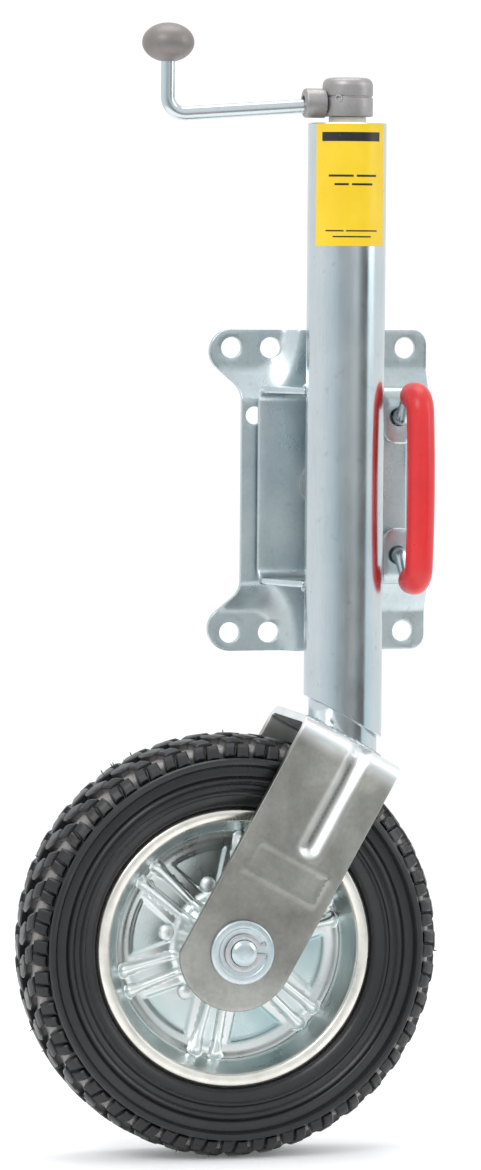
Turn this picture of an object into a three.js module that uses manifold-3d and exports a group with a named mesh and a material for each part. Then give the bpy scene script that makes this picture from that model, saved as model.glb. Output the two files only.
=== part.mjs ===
// Swing-up trailer jack with a 260 mm wheel: bolt-on plate, swivel bracket, screw leg, fork and wheel.
// Millimetres, +Z up. The origin is the centre of the corner bolt holes on the drawbar face.
// The drawbar is on the +Y side, the jack hangs on the -Y side, and +X runs along the plate.
import * as THREE from 'three';
import { mergeVertices } from 'three/addons/utils/BufferGeometryUtils.js';
import Module from 'manifold-3d';

const wasm = await Module();
wasm.setup();

// ---------------------------------------------------------------- driving dimensions
const GAP = 0.3;                    // air between pieces that rest on or turn in one another

const TUBE_Y = -70;                 // tube axis in front of the drawbar face
const TUBE_R = 24.15;               // outer tube, 48.3 mm outside
const TUBE_BORE = 21.55;
const TUBE_TOP = 228;
const INNER_R = 21.2;               // inner tube, 42.4 mm outside
const INNER_BORE = 18.7;

const LEAN = THREE.MathUtils.degToRad(29);   // the fork trails backwards by this angle
const AXLE_X = -73;
const AXLE_Z = -276;
const WEB_TOP = 145.5;              // outer face of the fork web above the axle, along the arms
const TUBE_END = 157;               // slanted end of the outer tube above the axle, along the arms

const PLATE_T = 4;
const PLATE_HALF_X = 70;
const PLATE_HALF_Z = 100.5;
const PLATE_RISE = 8;               // the middle of the plate stands this far off the drawbar
const WAIST_X = -51;                // left edge of the plate between its ears
const HOLE_R = 6.5;
const HOLE_X = [-56, -31, 56];
const HOLE_Z = 89;

const PIVOT_Z = 4;
const PIVOT_R = 7;
const PIN_OFFSET = 43;              // lock pins sit this far from the pivot, sideways and up or down
const PIN_R = 5;
const PIN_TRAVEL = 8;               // how far the pins drive home from the position drawn here

const BRACKET_T = 4;
const BRACKET_BACK = -15;           // back of the bracket web
const BRACKET_HALF = 61.5;          // half the height over the flanges
const BRACKET_LEFT = -42;
const BRACKET_RIGHT = 54;
const EAR_BACK = -36;

const GRIP_Y = -87;
const GRIP_R = 8.7;
const GRIP_HALF = 65.3;             // half the height over the grip

const SCREW_R = 8.7;
const NUT_TOP = 198;
const HUB_R = 15.5;
const HUB_BOTTOM = 232;
const HUB_TOP = 256;
const CRANK_Z = 240;
const CRANK_REACH = 113;
const CRANK_DROOP = THREE.MathUtils.degToRad(4);
const CRANK_ROD_R = 4.3;
const KNOB_Z = 275.8;
const KNOB_R = 16.1;
const KNOB_HALF_Z = 12;

const ARM_T = 5;
const ARM_OUT = 43;                 // outer face of each fork arm from the wheel's middle plane
const ARM_END_R = 35.8;
const ARM_END_X = -2.2;
const ARM_END_Z = -2;
const ARM_LEFT = -34;
const ARM_RIGHT = 34;
const AXLE_R = 8;

const TYRE_R = 130;
const TYRE_HALF_W = 32;
const RIM_R = 86;
const RIM_T = 2;
const RIVET_RING = 39;
const SPOKES = 6;

const ROUND = 32;                   // facets round a large cylinder
const SMALL = 16;                   // facets round a small one

// ---------------------------------------------------------------- materials
const finish = (color, roughness, metalness) => {
  return new THREE.MeshStandardMaterial({ color, roughness, metalness });
};
const zinc = finish(0xb4c2c8, 0.32, 0.9);
const dullZinc = finish(0x9a9b95, 0.45, 0.85);
const rimZinc = finish(0xb9c4c6, 0.25, 0.95);
const steel = finish(0x8d9092, 0.4, 0.9);
const castGrey = finish(0x8f8a88, 0.5, 0.6);
const brass = finish(0xb59a55, 0.35, 0.9);
const nylon = finish(0xe6e0cc, 0.6, 0);
const yellow = finish(0xf4d020, 0.5, 0);
const redVinyl = finish(0xe03838, 0.4, 0);
const rubber = finish(0x2b2b2c, 0.85, 0);

// ---------------------------------------------------------------- geometry helpers
// Merge shared corners, and turn the faces outwards if the outline ran the other way.
function closed(geometry) {
  const bare = geometry.clone();
  for (const name of Object.keys(bare.attributes)) {
    if (name !== 'position') bare.deleteAttribute(name);
  }
  const merged = mergeVertices(bare, 1e-4);
  const at = merged.attributes.position;
  const index = merged.index.array;
  const a = new THREE.Vector3();
  const b = new THREE.Vector3();
  const c = new THREE.Vector3();
  const kept = [];
  let volume = 0;
  for (let i = 0; i < index.length; i += 3) {
    const [p, q, r] = [index[i], index[i + 1], index[i + 2]];
    if (p === q || q === r || r === p) continue;
    kept.push([p, q, r]);
    a.fromBufferAttribute(at, p);
    b.fromBufferAttribute(at, q);
    c.fromBufferAttribute(at, r);
    volume += a.dot(b.cross(c));
  }
  merged.setIndex(kept.flatMap(([p, q, r]) => (volume < 0 ? [p, r, q] : [p, q, r])));
  return merged;
}

function toManifold(geometry) {
  const g = closed(geometry);
  return new wasm.Manifold(new wasm.Mesh({
    numProp: 3,
    vertProperties: new Float32Array(g.attributes.position.array),
    triVerts: new Uint32Array(g.index.array),
  }));
}

function fromManifold(manifold) {
  const mesh = manifold.getMesh();
  const g = new THREE.BufferGeometry();
  g.setAttribute('position', new THREE.BufferAttribute(new Float32Array(mesh.vertProperties), 3));
  g.setIndex(Array.from(mesh.triVerts));
  return g;
}

function combine(base, others, operation) {
  let result = toManifold(base);
  for (const other of others) result = result[operation](toManifold(other));
  return fromManifold(result);
}

const cut = (base, ...tools) => combine(base, tools, 'subtract');
const join = (base, ...more) => combine(base, more, 'add');
const common = (base, ...more) => combine(base, more, 'intersect');

function box(x, y, z) {
  const g = new THREE.BoxGeometry(x[1] - x[0], y[1] - y[0], z[1] - z[0]);
  return g.translate((x[0] + x[1]) / 2, (y[0] + y[1]) / 2, (z[0] + z[1]) / 2);
}

// Revolve an outline of [radius, height] points about the Z axis, or about the Y axis for the wheel.
function turned(points, facets = ROUND, axis = 'z') {
  const outline = points.map(([r, h]) => new THREE.Vector2(r, h));
  const onAxis = points[0][0] === 0 && points[points.length - 1][0] === 0;
  if (!onAxis) outline.push(outline[0].clone());
  const g = new THREE.LatheGeometry(outline, facets);
  return closed(axis === 'z' ? g.rotateX(Math.PI / 2) : g);
}

const bar = (r, from, to, facets = SMALL, axis = 'z') => {
  return turned([[0, from], [r, from], [r, to], [0, to]], facets, axis);
};
const ring = (inner, outer, from, to, facets = ROUND, axis = 'z') =>
  turned([[inner, from], [outer, from], [outer, to], [inner, to]], facets, axis);

// A flat outline drawn in X and Z, given thickness along Y.
function plateOf(shape, y0, y1, curveSegments = 10) {
  const g = new THREE.ExtrudeGeometry(shape, { depth: y1 - y0, bevelEnabled: false, curveSegments });
  return closed(g.rotateX(Math.PI / 2).translate(0, y1, 0));
}

// A flat outline drawn in X and Y, given thickness along Z.
function slabOf(shape, z0, z1, curveSegments = 10) {
  const g = new THREE.ExtrudeGeometry(shape, { depth: z1 - z0, bevelEnabled: false, curveSegments });
  return closed(g.translate(0, 0, z0));
}

// A path through given stations, so that straight runs need no steps of their own.
class StationPath extends THREE.Curve {
  constructor(stations) {
    super();
    this.stations = stations;
    this.steps = stations.length - 1;
  }

  getPointAt(u) {
    return this.stations[Math.round(u * this.steps)].clone();
  }

  getTangentAt(u) {
    const i = Math.round(u * this.steps);
    const before = this.stations[Math.max(i - 1, 0)];
    const after = this.stations[Math.min(i + 1, this.steps)];
    const here = this.stations[i];
    const into = here.clone().sub(before).normalize();
    const onward = after.clone().sub(here).normalize();
    return into.add(onward).normalize();
  }
}

// A round wire or sleeve along a station path; sides is the number of facets round it.
function wire(path, r, sides = 10, bore = 0) {
  const section = new THREE.Shape().absarc(0, 0, r, 0, 2 * Math.PI);
  if (bore > 0) section.holes.push(new THREE.Path().absarc(0, 0, bore, 0, 2 * Math.PI, true));
  const options = { steps: path.steps, extrudePath: path, bevelEnabled: false, curveSegments: sides / 2 };
  return closed(new THREE.ExtrudeGeometry(section, options));
}

// Straight runs between the corner points, each corner rounded to the given radius.
function bentPath(corners, radius, pieces = 4) {
  const stations = [corners[0]];
  for (let i = 1; i < corners.length - 1; i += 1) {
    const back = corners[i - 1].clone().sub(corners[i]).normalize();
    const on = corners[i + 1].clone().sub(corners[i]).normalize();
    const setback = radius / Math.tan(back.angleTo(on) / 2);
    const start = corners[i].clone().addScaledVector(back, setback);
    const end = corners[i].clone().addScaledVector(on, setback);
    stations.push(...new THREE.QuadraticBezierCurve3(start, corners[i], end).getPoints(pieces));
  }
  stations.push(corners[corners.length - 1]);
  return new StationPath(stations);
}

function helixPath(radius, turns, from, to, stepsPerTurn = 10) {
  const stations = [];
  const count = turns * stepsPerTurn;
  for (let i = 0; i <= count; i += 1) {
    const a = 2 * Math.PI * i / stepsPerTurn;
    const y = from + (to - from) * i / count;
    stations.push(new THREE.Vector3(radius * Math.cos(a), y, radius * Math.sin(a)));
  }
  return new StationPath(stations);
}

function add(parent, name, geometry, material) {
  const mesh = new THREE.Mesh(geometry, material);
  mesh.name = name;
  parent.add(mesh);
  return mesh;
}

const jack = new THREE.Group();

// ---------------------------------------------------------------- mounting plate
// Pressed sheet: four corner pads lie on the drawbar, and a rib and a middle band stand off it.
const RIB_HALF = 12.5;              // flat top of the rib
const RIB_RUN = 7.5;                // width of the slope beside the rib
const BAND_HALF = 56;               // flat top of the middle band
const BAND_RUN = 21;                // height of the slope above and below the band
const BLEND = 24;                   // how broadly the rib and the band run into each other

// 1 on the raised part, 0 on the pads, and a straight slope between.
function raised(x, z) {
  const besideRib = Math.abs(x) - RIB_HALF;
  const besideBand = (Math.abs(z) - BAND_HALF) * (RIB_RUN / BAND_RUN);
  const blend = Math.max(BLEND - Math.abs(besideRib - besideBand), 0);
  const away = Math.min(besideRib, besideBand) - blend * blend / (4 * BLEND);
  return 1 - THREE.MathUtils.clamp(away / RIB_RUN, 0, 1);
}

// A sheet over a grid of X and Z lines, its two faces PLATE_T apart.
function pressedSheet(xs, zs) {
  const corners = [];
  const faces = [];
  const columns = zs.length;
  for (const side of [0, -PLATE_T]) {
    for (const x of xs) {
      for (const z of zs) corners.push(x, side - PLATE_RISE * raised(x, z), z);
    }
  }
  const back = (i, j) => i * columns + j;
  const front = (i, j) => xs.length * columns + i * columns + j;
  const quad = (a, b, c, d) => faces.push(a, b, c, a, c, d);
  for (let i = 0; i + 1 < xs.length; i += 1) {
    for (let j = 0; j + 1 < columns; j += 1) {
      quad(back(i, j), back(i, j + 1), back(i + 1, j + 1), back(i + 1, j));
      quad(front(i, j), front(i + 1, j), front(i + 1, j + 1), front(i, j + 1));
    }
    quad(back(i, 0), back(i + 1, 0), front(i + 1, 0), front(i, 0));
    quad(back(i, columns - 1), front(i, columns - 1), front(i + 1, columns - 1), back(i + 1, columns - 1));
  }
  for (let j = 0; j + 1 < columns; j += 1) {
    quad(back(0, j), front(0, j), front(0, j + 1), back(0, j + 1));
    const i = xs.length - 1;
    quad(back(i, j), back(i, j + 1), front(i, j + 1), front(i, j));
  }
  const g = new THREE.BufferGeometry();
  g.setAttribute('position', new THREE.BufferAttribute(new Float32Array(corners), 3));
  g.setIndex(faces);
  return g;
}

const mirrored = (values) => [...values.map((v) => -v).reverse(), ...values.filter((v) => v !== 0)];

function plateOutline() {
  const ear = PLATE_HALF_X + HOLE_X[0];             // ear radius round its hole
  const shape = new THREE.Shape();
  const flankZ = HOLE_Z - 26;                       // where the ear's flank meets the waist
  const corner = 9;
  shape.moveTo(HOLE_X[0], PLATE_HALF_Z);
  shape.absellipse(HOLE_X[0], HOLE_Z - 2.5, ear, ear, Math.PI / 2, Math.PI * 1.22);
  shape.lineTo(WAIST_X, flankZ);
  shape.lineTo(WAIST_X, -flankZ);
  shape.absellipse(HOLE_X[0], 2.5 - HOLE_Z, ear, ear, Math.PI * 0.78, Math.PI * 1.5);
  shape.lineTo(PLATE_HALF_X - corner, -PLATE_HALF_Z);
  shape.absarc(PLATE_HALF_X - corner, corner - PLATE_HALF_Z, corner, -Math.PI / 2, 0);
  shape.absarc(PLATE_HALF_X - corner, PLATE_HALF_Z - corner, corner, 0, Math.PI / 2);
  shape.closePath();
  return shape;
}

const LOCK_HOLES = [[PIN_OFFSET, PIN_OFFSET], [PIN_OFFSET, -PIN_OFFSET], [-PIN_OFFSET, PIN_OFFSET]];

function mountingPlate() {
  const through = [1, -PLATE_RISE - PLATE_T - 1];
  const hole = (x, z, r) => bar(r, through[1], through[0], SMALL, 'y').translate(x, 0, z);
  const xs = mirrored([0, RIB_HALF, RIB_HALF + RIB_RUN, 25, 31, 38, PLATE_HALF_X + 2]);
  const zs = mirrored([0, BAND_HALF, 63, 70, BAND_HALF + BAND_RUN, 84, PLATE_HALF_Z + 2]);
  const sheet = common(pressedSheet(xs, zs), plateOf(plateOutline(), through[1], through[0]));
  const bolts = HOLE_X.flatMap((x) => [hole(x, HOLE_Z, HOLE_R), hole(x, -HOLE_Z, HOLE_R)]);
  const locks = LOCK_HOLES.map(([x, z]) => hole(x, PIVOT_Z + z, PIN_R + 0.5));
  return cut(sheet, ...bolts, ...locks, hole(0, PIVOT_Z, PIVOT_R + GAP));
}

add(jack, 'mounting_plate', mountingPlate(), zinc);

// ---------------------------------------------------------------- pivot bolt, nut and washers
const RAISED_BACK = -PLATE_RISE;
const RAISED_FRONT = -PLATE_RISE - PLATE_T;
const BRACKET_FRONT = BRACKET_BACK - BRACKET_T;
const WASHER_T = 2.5;
const NUT_FRONT = BRACKET_FRONT - GAP - WASHER_T - GAP;

function pivotParts() {
  const group = new THREE.Group();
  group.position.z = PIVOT_Z;
  const head = bar(12, RAISED_BACK + GAP, RAISED_BACK + GAP + 6.5, 6, 'y');
  const shank = bar(PIVOT_R, NUT_FRONT - 14, RAISED_BACK + 1, SMALL, 'y');
  add(group, 'pivot_bolt', join(head, shank), steel);
  const spacer = ring(PIVOT_R + GAP, 16, BRACKET_BACK + GAP, RAISED_FRONT - GAP, SMALL, 'y');
  add(group, 'pivot_spacer', spacer, nylon);
  const washer = ring(PIVOT_R + GAP, 15, BRACKET_FRONT - GAP - WASHER_T, BRACKET_FRONT - GAP, SMALL, 'y');
  add(group, 'pivot_washer', washer, steel);
  const thread = bar(PIVOT_R + GAP, NUT_FRONT - 12, NUT_FRONT + 1, SMALL, 'y');
  const nut = cut(bar(12, NUT_FRONT - 11, NUT_FRONT, 6, 'y'), thread);
  add(group, 'pivot_nut', nut, steel);
  return group;
}

jack.add(pivotParts());

// ---------------------------------------------------------------- swivel bracket
// A channel: the web lies along the plate, the flanges reach forward and cradle the tube,
// and on the right each flange turns into an ear that guides one lock pin.
const EAR_T = 4;
const EAR_LENGTH = 35.5;
const EAR_LEFT = 33;

function swivelBracket() {
  const low = PIVOT_Z - BRACKET_HALF;
  const high = PIVOT_Z + BRACKET_HALF;
  const webShape = new THREE.Shape();
  webShape.moveTo(BRACKET_LEFT, low);
  webShape.lineTo(BRACKET_RIGHT, low);
  webShape.lineTo(BRACKET_RIGHT, high);
  webShape.lineTo(BRACKET_LEFT, high);
  webShape.closePath();
  const web = plateOf(webShape, BRACKET_FRONT, BRACKET_BACK);

  const cradle = new THREE.Shape();
  const lip = EAR_BACK - EAR_T;
  cradle.moveTo(BRACKET_LEFT, BRACKET_BACK);
  cradle.lineTo(BRACKET_LEFT, -32);
  cradle.lineTo(-24, TUBE_Y + 8);
  cradle.lineTo(24, TUBE_Y + 8);
  cradle.lineTo(EAR_LEFT, lip);
  cradle.lineTo(BRACKET_RIGHT, lip);
  cradle.lineTo(BRACKET_RIGHT, BRACKET_BACK);
  cradle.closePath();
  const topFlange = slabOf(cradle, high - BRACKET_T, high);
  const bottomFlange = slabOf(cradle, low, low + BRACKET_T);

  const ear = (sign) => {
    const shape = new THREE.Shape();
    const root = PIVOT_Z + sign * BRACKET_HALF;
    const end = root - sign * EAR_LENGTH;
    const round = 8;
    shape.moveTo(EAR_LEFT, root);
    shape.lineTo(BRACKET_RIGHT, root);
    shape.lineTo(BRACKET_RIGHT, end + sign * round);
    shape.quadraticCurveTo(BRACKET_RIGHT, end, BRACKET_RIGHT - round, end);
    shape.lineTo(EAR_LEFT + round, end);
    shape.quadraticCurveTo(EAR_LEFT, end, EAR_LEFT, end + sign * round);
    shape.closePath();
    return plateOf(shape, lip, EAR_BACK, 4);
  };
  const tubeSeat = bar(TUBE_R + GAP, low - 1, high + 1, ROUND).translate(0, TUBE_Y, 0);
  const pivotHole = bar(PIVOT_R + 0.4, lip, BRACKET_BACK + 1, SMALL, 'y').translate(0, 0, PIVOT_Z);
  const pinHole = (z) => bar(PIN_R + 0.5, lip - 1, BRACKET_BACK + 1, SMALL, 'y').translate(PIN_OFFSET, 0, z);
  const body = join(web, topFlange, bottomFlange, ear(1), ear(-1));
  return cut(body, tubeSeat, pivotHole, pinHole(PIVOT_Z + PIN_OFFSET), pinHole(PIVOT_Z - PIN_OFFSET));
}

add(jack, 'swivel_bracket', swivelBracket(), zinc);

// ---------------------------------------------------------------- leg column: everything on the tube axis
const column = new THREE.Group();
column.position.y = TUBE_Y;
jack.add(column);

// Everything below a plane square to the fork arms, at this height above the axle along them.
function belowArmPlane(height) {
  const half = 400;
  const block = box([-half, half], [-half, half], [height - 2 * half, height]);
  return block.rotateY(LEAN).translate(AXLE_X, 0, AXLE_Z);
}

const tubeBlank = ring(TUBE_BORE, TUBE_R, AXLE_Z + 80, TUBE_TOP, ROUND);
add(column, 'outer_tube', cut(tubeBlank, belowArmPlane(TUBE_END)), zinc);

const CAP_BOTTOM = 214;
const JOURNAL_R = 9;
const cap = [
  [JOURNAL_R + GAP, CAP_BOTTOM], [TUBE_BORE - GAP, CAP_BOTTOM], [TUBE_BORE - GAP, TUBE_TOP - 0.5],
  [11.5, TUBE_TOP - 0.5], [11.5, HUB_BOTTOM - GAP], [JOURNAL_R + GAP, HUB_BOTTOM - GAP],
];
add(column, 'tube_cap', turned(cap, ROUND), nylon);

// Thrust bearing between the screw's collar and the cap.
const COLLAR_TOP = 206.4;
const RACE_T = 2;
const BALL_R = 1.5;
const raceInner = JOURNAL_R + 0.4;
const RACE_R = 15.5;
const lowerRaceTop = COLLAR_TOP + GAP + RACE_T;
const upperRaceBottom = CAP_BOTTOM - GAP - RACE_T;
add(column, 'thrust_race_lower', ring(raceInner, RACE_R, COLLAR_TOP + GAP, lowerRaceTop, SMALL), steel);
add(column, 'thrust_race_upper', ring(raceInner, RACE_R, upperRaceBottom, CAP_BOTTOM - GAP, SMALL), steel);

function ballCage() {
  const middle = (lowerRaceTop + upperRaceBottom) / 2;
  const pitch = (raceInner + RACE_R) / 2;
  const balls = [];
  const count = 7;
  for (let i = 0; i < count; i += 1) {
    const a = 2 * Math.PI * i / count;
    const ball = new THREE.SphereGeometry(BALL_R - 0.35, 6, 4);
    balls.push(ball.translate(pitch * Math.cos(a), pitch * Math.sin(a), middle));
  }
  return join(ring(raceInner, RACE_R - 0.5, middle - 0.5, middle + 0.5, 24), ...balls);
}

add(column, 'thrust_ball_cage', ballCage(), brass);

// Information label, wrapped round the front of the tube.
function label() {
  const centre = THREE.MathUtils.degToRad(-7.6);
  const half = THREE.MathUtils.degToRad(56.7);
  const inner = TUBE_R + GAP;
  const outer = inner + 0.3;
  const shape = new THREE.Shape();
  const left = -Math.PI / 2 + centre - half;
  const right = -Math.PI / 2 + centre + half;
  shape.absarc(0, 0, outer, left, right);
  shape.absarc(0, 0, inner, right, left, true);
  shape.closePath();
  return slabOf(shape, 153, 227.5, 12);
}

add(column, 'information_label', label(), yellow);

// ---------------------------------------------------------------- crank and lifting screw
const STUB_END = -28;
const STUB_R = 9;
const ROLL_PIN_TURN = THREE.MathUtils.degToRad(-35);
const ROLL_PIN_Z = 243;
const ROLL_PIN_R = 2;

const crossBar = (r, half) => {
  return bar(r, -half, half, 12, 'y').rotateZ(ROLL_PIN_TURN).translate(0, 0, ROLL_PIN_Z);
};

function crankHub() {
  const dome = [
    [0, HUB_BOTTOM], [HUB_R, HUB_BOTTOM], [HUB_R, HUB_TOP - 4], [HUB_R - 1.2, HUB_TOP - 1.5],
    [HUB_R - 4, HUB_TOP - 0.4], [0, HUB_TOP],
  ];
  const stub = bar(STUB_R, STUB_END, -HUB_R + 3, SMALL).rotateY(Math.PI / 2).translate(0, 0, CRANK_Z);
  const rodHole = bar(CRANK_ROD_R + GAP, STUB_END - 20, -15.5, SMALL).rotateY(Math.PI / 2 - CRANK_DROOP);
  rodHole.translate(0, 0, CRANK_Z);
  const screwHole = bar(JOURNAL_R + GAP, HUB_BOTTOM - 1, HUB_TOP - 5, SMALL);
  return cut(join(turned(dome, ROUND), stub), rodHole, screwHole, crossBar(ROLL_PIN_R + GAP, 20));
}

add(column, 'crank_hub', crankHub(), castGrey);

const SCREW_BOTTOM = -30;
const screwOutline = [
  [0, SCREW_BOTTOM], [SCREW_R - 2, SCREW_BOTTOM], [SCREW_R, SCREW_BOTTOM + 3], [SCREW_R, COLLAR_TOP - 6],
  [RACE_R - 1, COLLAR_TOP - 6], [RACE_R - 1, COLLAR_TOP], [JOURNAL_R, COLLAR_TOP],
  [JOURNAL_R, HUB_TOP - 5.5], [0, HUB_TOP - 5.5],
];
add(column, 'lifting_screw', cut(turned(screwOutline, SMALL), crossBar(ROLL_PIN_R + GAP, 20)), steel);
add(column, 'hub_roll_pin', crossBar(ROLL_PIN_R, 14.6), steel);

const rodEnd = new THREE.Vector3(-16.5, 0, CRANK_Z - 16.5 * Math.tan(CRANK_DROOP));
const elbow = new THREE.Vector3(-CRANK_REACH, 0, CRANK_Z - CRANK_REACH * Math.tan(CRANK_DROOP));
const KNOB_CAVITY_TOP = KNOB_Z + 4.5;
const rodTop = new THREE.Vector3(-CRANK_REACH, 0, KNOB_CAVITY_TOP - 1);
add(column, 'crank_rod', wire(bentPath([rodEnd, elbow, rodTop], 10, 6), CRANK_ROD_R, 12), zinc);

// The knob is hollow round the rod's end, where a push-on ring keeps it from lifting off.
function knobOutline() {
  const bore = CRANK_ROD_R + GAP;
  const cavity = 7.2;
  const start = Math.asin(-Math.sqrt(1 - (bore / KNOB_R) ** 2));
  const outside = [];
  const steps = 8;
  for (let i = 0; i <= steps; i += 1) {
    const a = start + (Math.PI / 2 - start) * i / steps;
    outside.push([i === steps ? 0 : KNOB_R * Math.cos(a), KNOB_Z + KNOB_HALF_Z * Math.sin(a)]);
  }
  const inside = [[0, KNOB_CAVITY_TOP], [cavity, KNOB_CAVITY_TOP], [cavity, KNOB_Z], [bore, KNOB_Z]];
  return [...outside, ...inside];
}

function knob() {
  const points = knobOutline().map(([r, h]) => new THREE.Vector2(r, h));
  points.push(points[0].clone());
  return closed(new THREE.LatheGeometry(points, 20).rotateX(Math.PI / 2)).translate(-CRANK_REACH, 0, 0);
}

const turningKnob = knob();
add(column, 'crank_knob', turningKnob, castGrey);
const pushRing = ring(CRANK_ROD_R + GAP, 6.8, KNOB_Z + GAP, KNOB_Z + 1.5, SMALL);
pushRing.translate(-CRANK_REACH, 0, 0);
add(column, 'knob_push_ring', pushRing, steel);

// ---------------------------------------------------------------- pull handle with its two lock pins
function handleCorners() {
  const tip = RAISED_FRONT - 0.5;
  const endZ = GRIP_HALF - GRIP_R;
  const at = (y, z) => new THREE.Vector3(PIN_OFFSET, y, PIVOT_Z + z);
  const upper = [at(tip, PIN_OFFSET), at(-50, PIN_OFFSET), at(-64, endZ), at(GRIP_Y, endZ)];
  const lower = [at(GRIP_Y, -endZ), at(-64, -endZ), at(-50, -PIN_OFFSET), at(tip, -PIN_OFFSET)];
  return { upper, lower };
}

const handle = handleCorners();
const rodPath = bentPath([...handle.upper, ...handle.lower], 9);
add(jack, 'handle_rod', wire(rodPath, PIN_R, 12), zinc);

const sleeveStart = new THREE.Vector3(PIN_OFFSET, -70, handle.upper[3].z);
const sleeveEnd = new THREE.Vector3(PIN_OFFSET, -70, handle.lower[0].z);
const sleevePath = bentPath([sleeveStart, handle.upper[3], handle.lower[0], sleeveEnd], 9);
add(jack, 'handle_grip', wire(sleevePath, GRIP_R, 14, PIN_R + GAP), redVinyl);

const PIN_COLLAR_BACK = BRACKET_FRONT - PIN_TRAVEL - 0.4;
const PIN_COLLAR_T = 1.5;
const springWire = 0.6;

for (const [place, sign] of [['upper', 1], ['lower', -1]]) {
  const z = PIVOT_Z + sign * PIN_OFFSET;
  const collar = ring(PIN_R + GAP, 8.5, PIN_COLLAR_BACK - PIN_COLLAR_T, PIN_COLLAR_BACK, SMALL, 'y');
  add(jack, `pin_collar_${place}`, collar.translate(PIN_OFFSET, 0, z), steel);
  const from = EAR_BACK + GAP + springWire;
  const to = PIN_COLLAR_BACK - PIN_COLLAR_T - GAP - springWire;
  const coil = wire(helixPath(7, 3, from, to), springWire, 6);
  add(jack, `pin_spring_${place}`, coil.translate(PIN_OFFSET, 0, z), steel);
}

// ---------------------------------------------------------------- screw nut and inner tube
const FLANGE_T = 7;
const INNER_TOP = NUT_TOP - FLANGE_T - GAP;
const BEAD_DEPTH = 1.5;             // the tube is rolled into the nut's groove by this much
const BEAD_Z = INNER_TOP - 14;

const nutOutline = [
  [SCREW_R + GAP, NUT_TOP - 32], [INNER_BORE - GAP, NUT_TOP - 32], [INNER_BORE - GAP, BEAD_Z - 3],
  [INNER_BORE - GAP - BEAD_DEPTH, BEAD_Z - 1.5], [INNER_BORE - GAP - BEAD_DEPTH, BEAD_Z + 1.5],
  [INNER_BORE - GAP, BEAD_Z + 3], [INNER_BORE - GAP, NUT_TOP - FLANGE_T], [INNER_R, NUT_TOP - FLANGE_T],
  [INNER_R, NUT_TOP], [SCREW_R + GAP, NUT_TOP],
];
add(column, 'screw_nut', turned(nutOutline, SMALL + 8), brass);

function innerTube() {
  const outline = [
    [INNER_R, AXLE_Z + 80], [INNER_R, BEAD_Z - 3], [INNER_R - BEAD_DEPTH, BEAD_Z - 1],
    [INNER_R - BEAD_DEPTH, BEAD_Z + 1], [INNER_R, BEAD_Z + 3], [INNER_R, INNER_TOP],
    [INNER_BORE, INNER_TOP], [INNER_BORE, BEAD_Z + 2.4], [INNER_BORE - BEAD_DEPTH, BEAD_Z + 0.8],
    [INNER_BORE - BEAD_DEPTH, BEAD_Z - 0.8], [INNER_BORE, BEAD_Z - 2.4], [INNER_BORE, AXLE_Z + 80],
  ];
  return cut(turned(outline, SMALL + 8), belowArmPlane(WEB_TOP + GAP));
}

add(column, 'inner_tube', innerTube(), zinc);

// ---------------------------------------------------------------- fork, in a frame that leans with its arms
const fork = new THREE.Group();
fork.position.set(AXLE_X, 0, AXLE_Z);
column.add(fork);
const leaning = new THREE.Group();
leaning.rotation.y = LEAN;
fork.add(leaning);

// The bent strip seen along its width, with rounded bends at the top.
function yokeStrip() {
  const outline = (half, top, bend) => {
    const path = new THREE.Shape();
    path.moveTo(-half, -60);
    path.lineTo(-half, top - bend);
    path.absarc(-half + bend, top - bend, bend, Math.PI, Math.PI / 2, true);
    path.absarc(half - bend, top - bend, bend, Math.PI / 2, 0, true);
    path.lineTo(half, -60);
    path.closePath();
    return path;
  };
  const width = 100;
  const extrude = (shape) => {
    const g = new THREE.ExtrudeGeometry(shape, { depth: width, bevelEnabled: false, curveSegments: 5 });
    return closed(g.translate(0, 0, -width / 2).rotateX(Math.PI / 2).rotateZ(Math.PI / 2));
  };
  const inner = extrude(outline(ARM_OUT - ARM_T, WEB_TOP - ARM_T, 4));
  return cut(extrude(outline(ARM_OUT, WEB_TOP, 9)), inner.translate(0, 0, -1e-3));
}

function yokeSide() {
  const shape = new THREE.Shape();
  const meets = 2 * Math.PI - Math.acos((ARM_LEFT - ARM_END_X) / ARM_END_R);
  shape.moveTo(ARM_LEFT, WEB_TOP + 5);
  shape.absarc(ARM_END_X, ARM_END_Z, ARM_END_R, meets, 2 * Math.PI);
  shape.lineTo(ARM_RIGHT, 45);
  shape.lineTo(ARM_RIGHT, WEB_TOP + 5);
  shape.closePath();
  return plateOf(shape, -ARM_OUT - 5, ARM_OUT + 5, 14);
}

const axleHole = bar(AXLE_R + GAP, -ARM_OUT - 5, ARM_OUT + 5, SMALL, 'y');
add(leaning, 'fork_yoke', cut(common(yokeStrip(), yokeSide()), axleHole), dullZinc);

const AXLE_WASHER_R = 20;
const nearFace = -ARM_OUT - GAP;
const axleOutline = [
  [0, nearFace - 7.5], [AXLE_R - 2, nearFace - 7.5], [AXLE_R, nearFace - 6], [AXLE_R, ARM_OUT + GAP],
  [13, ARM_OUT + GAP], [13, ARM_OUT + 4], [11, ARM_OUT + 6], [0, ARM_OUT + 6.5],
];
add(leaning, 'wheel_axle', turned(axleOutline, SMALL + 4, 'y'), zinc);
const axleWasher = ring(AXLE_R + GAP, AXLE_WASHER_R, nearFace - WASHER_T, nearFace, 32, 'y');
add(leaning, 'axle_washer', axleWasher, zinc);

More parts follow.
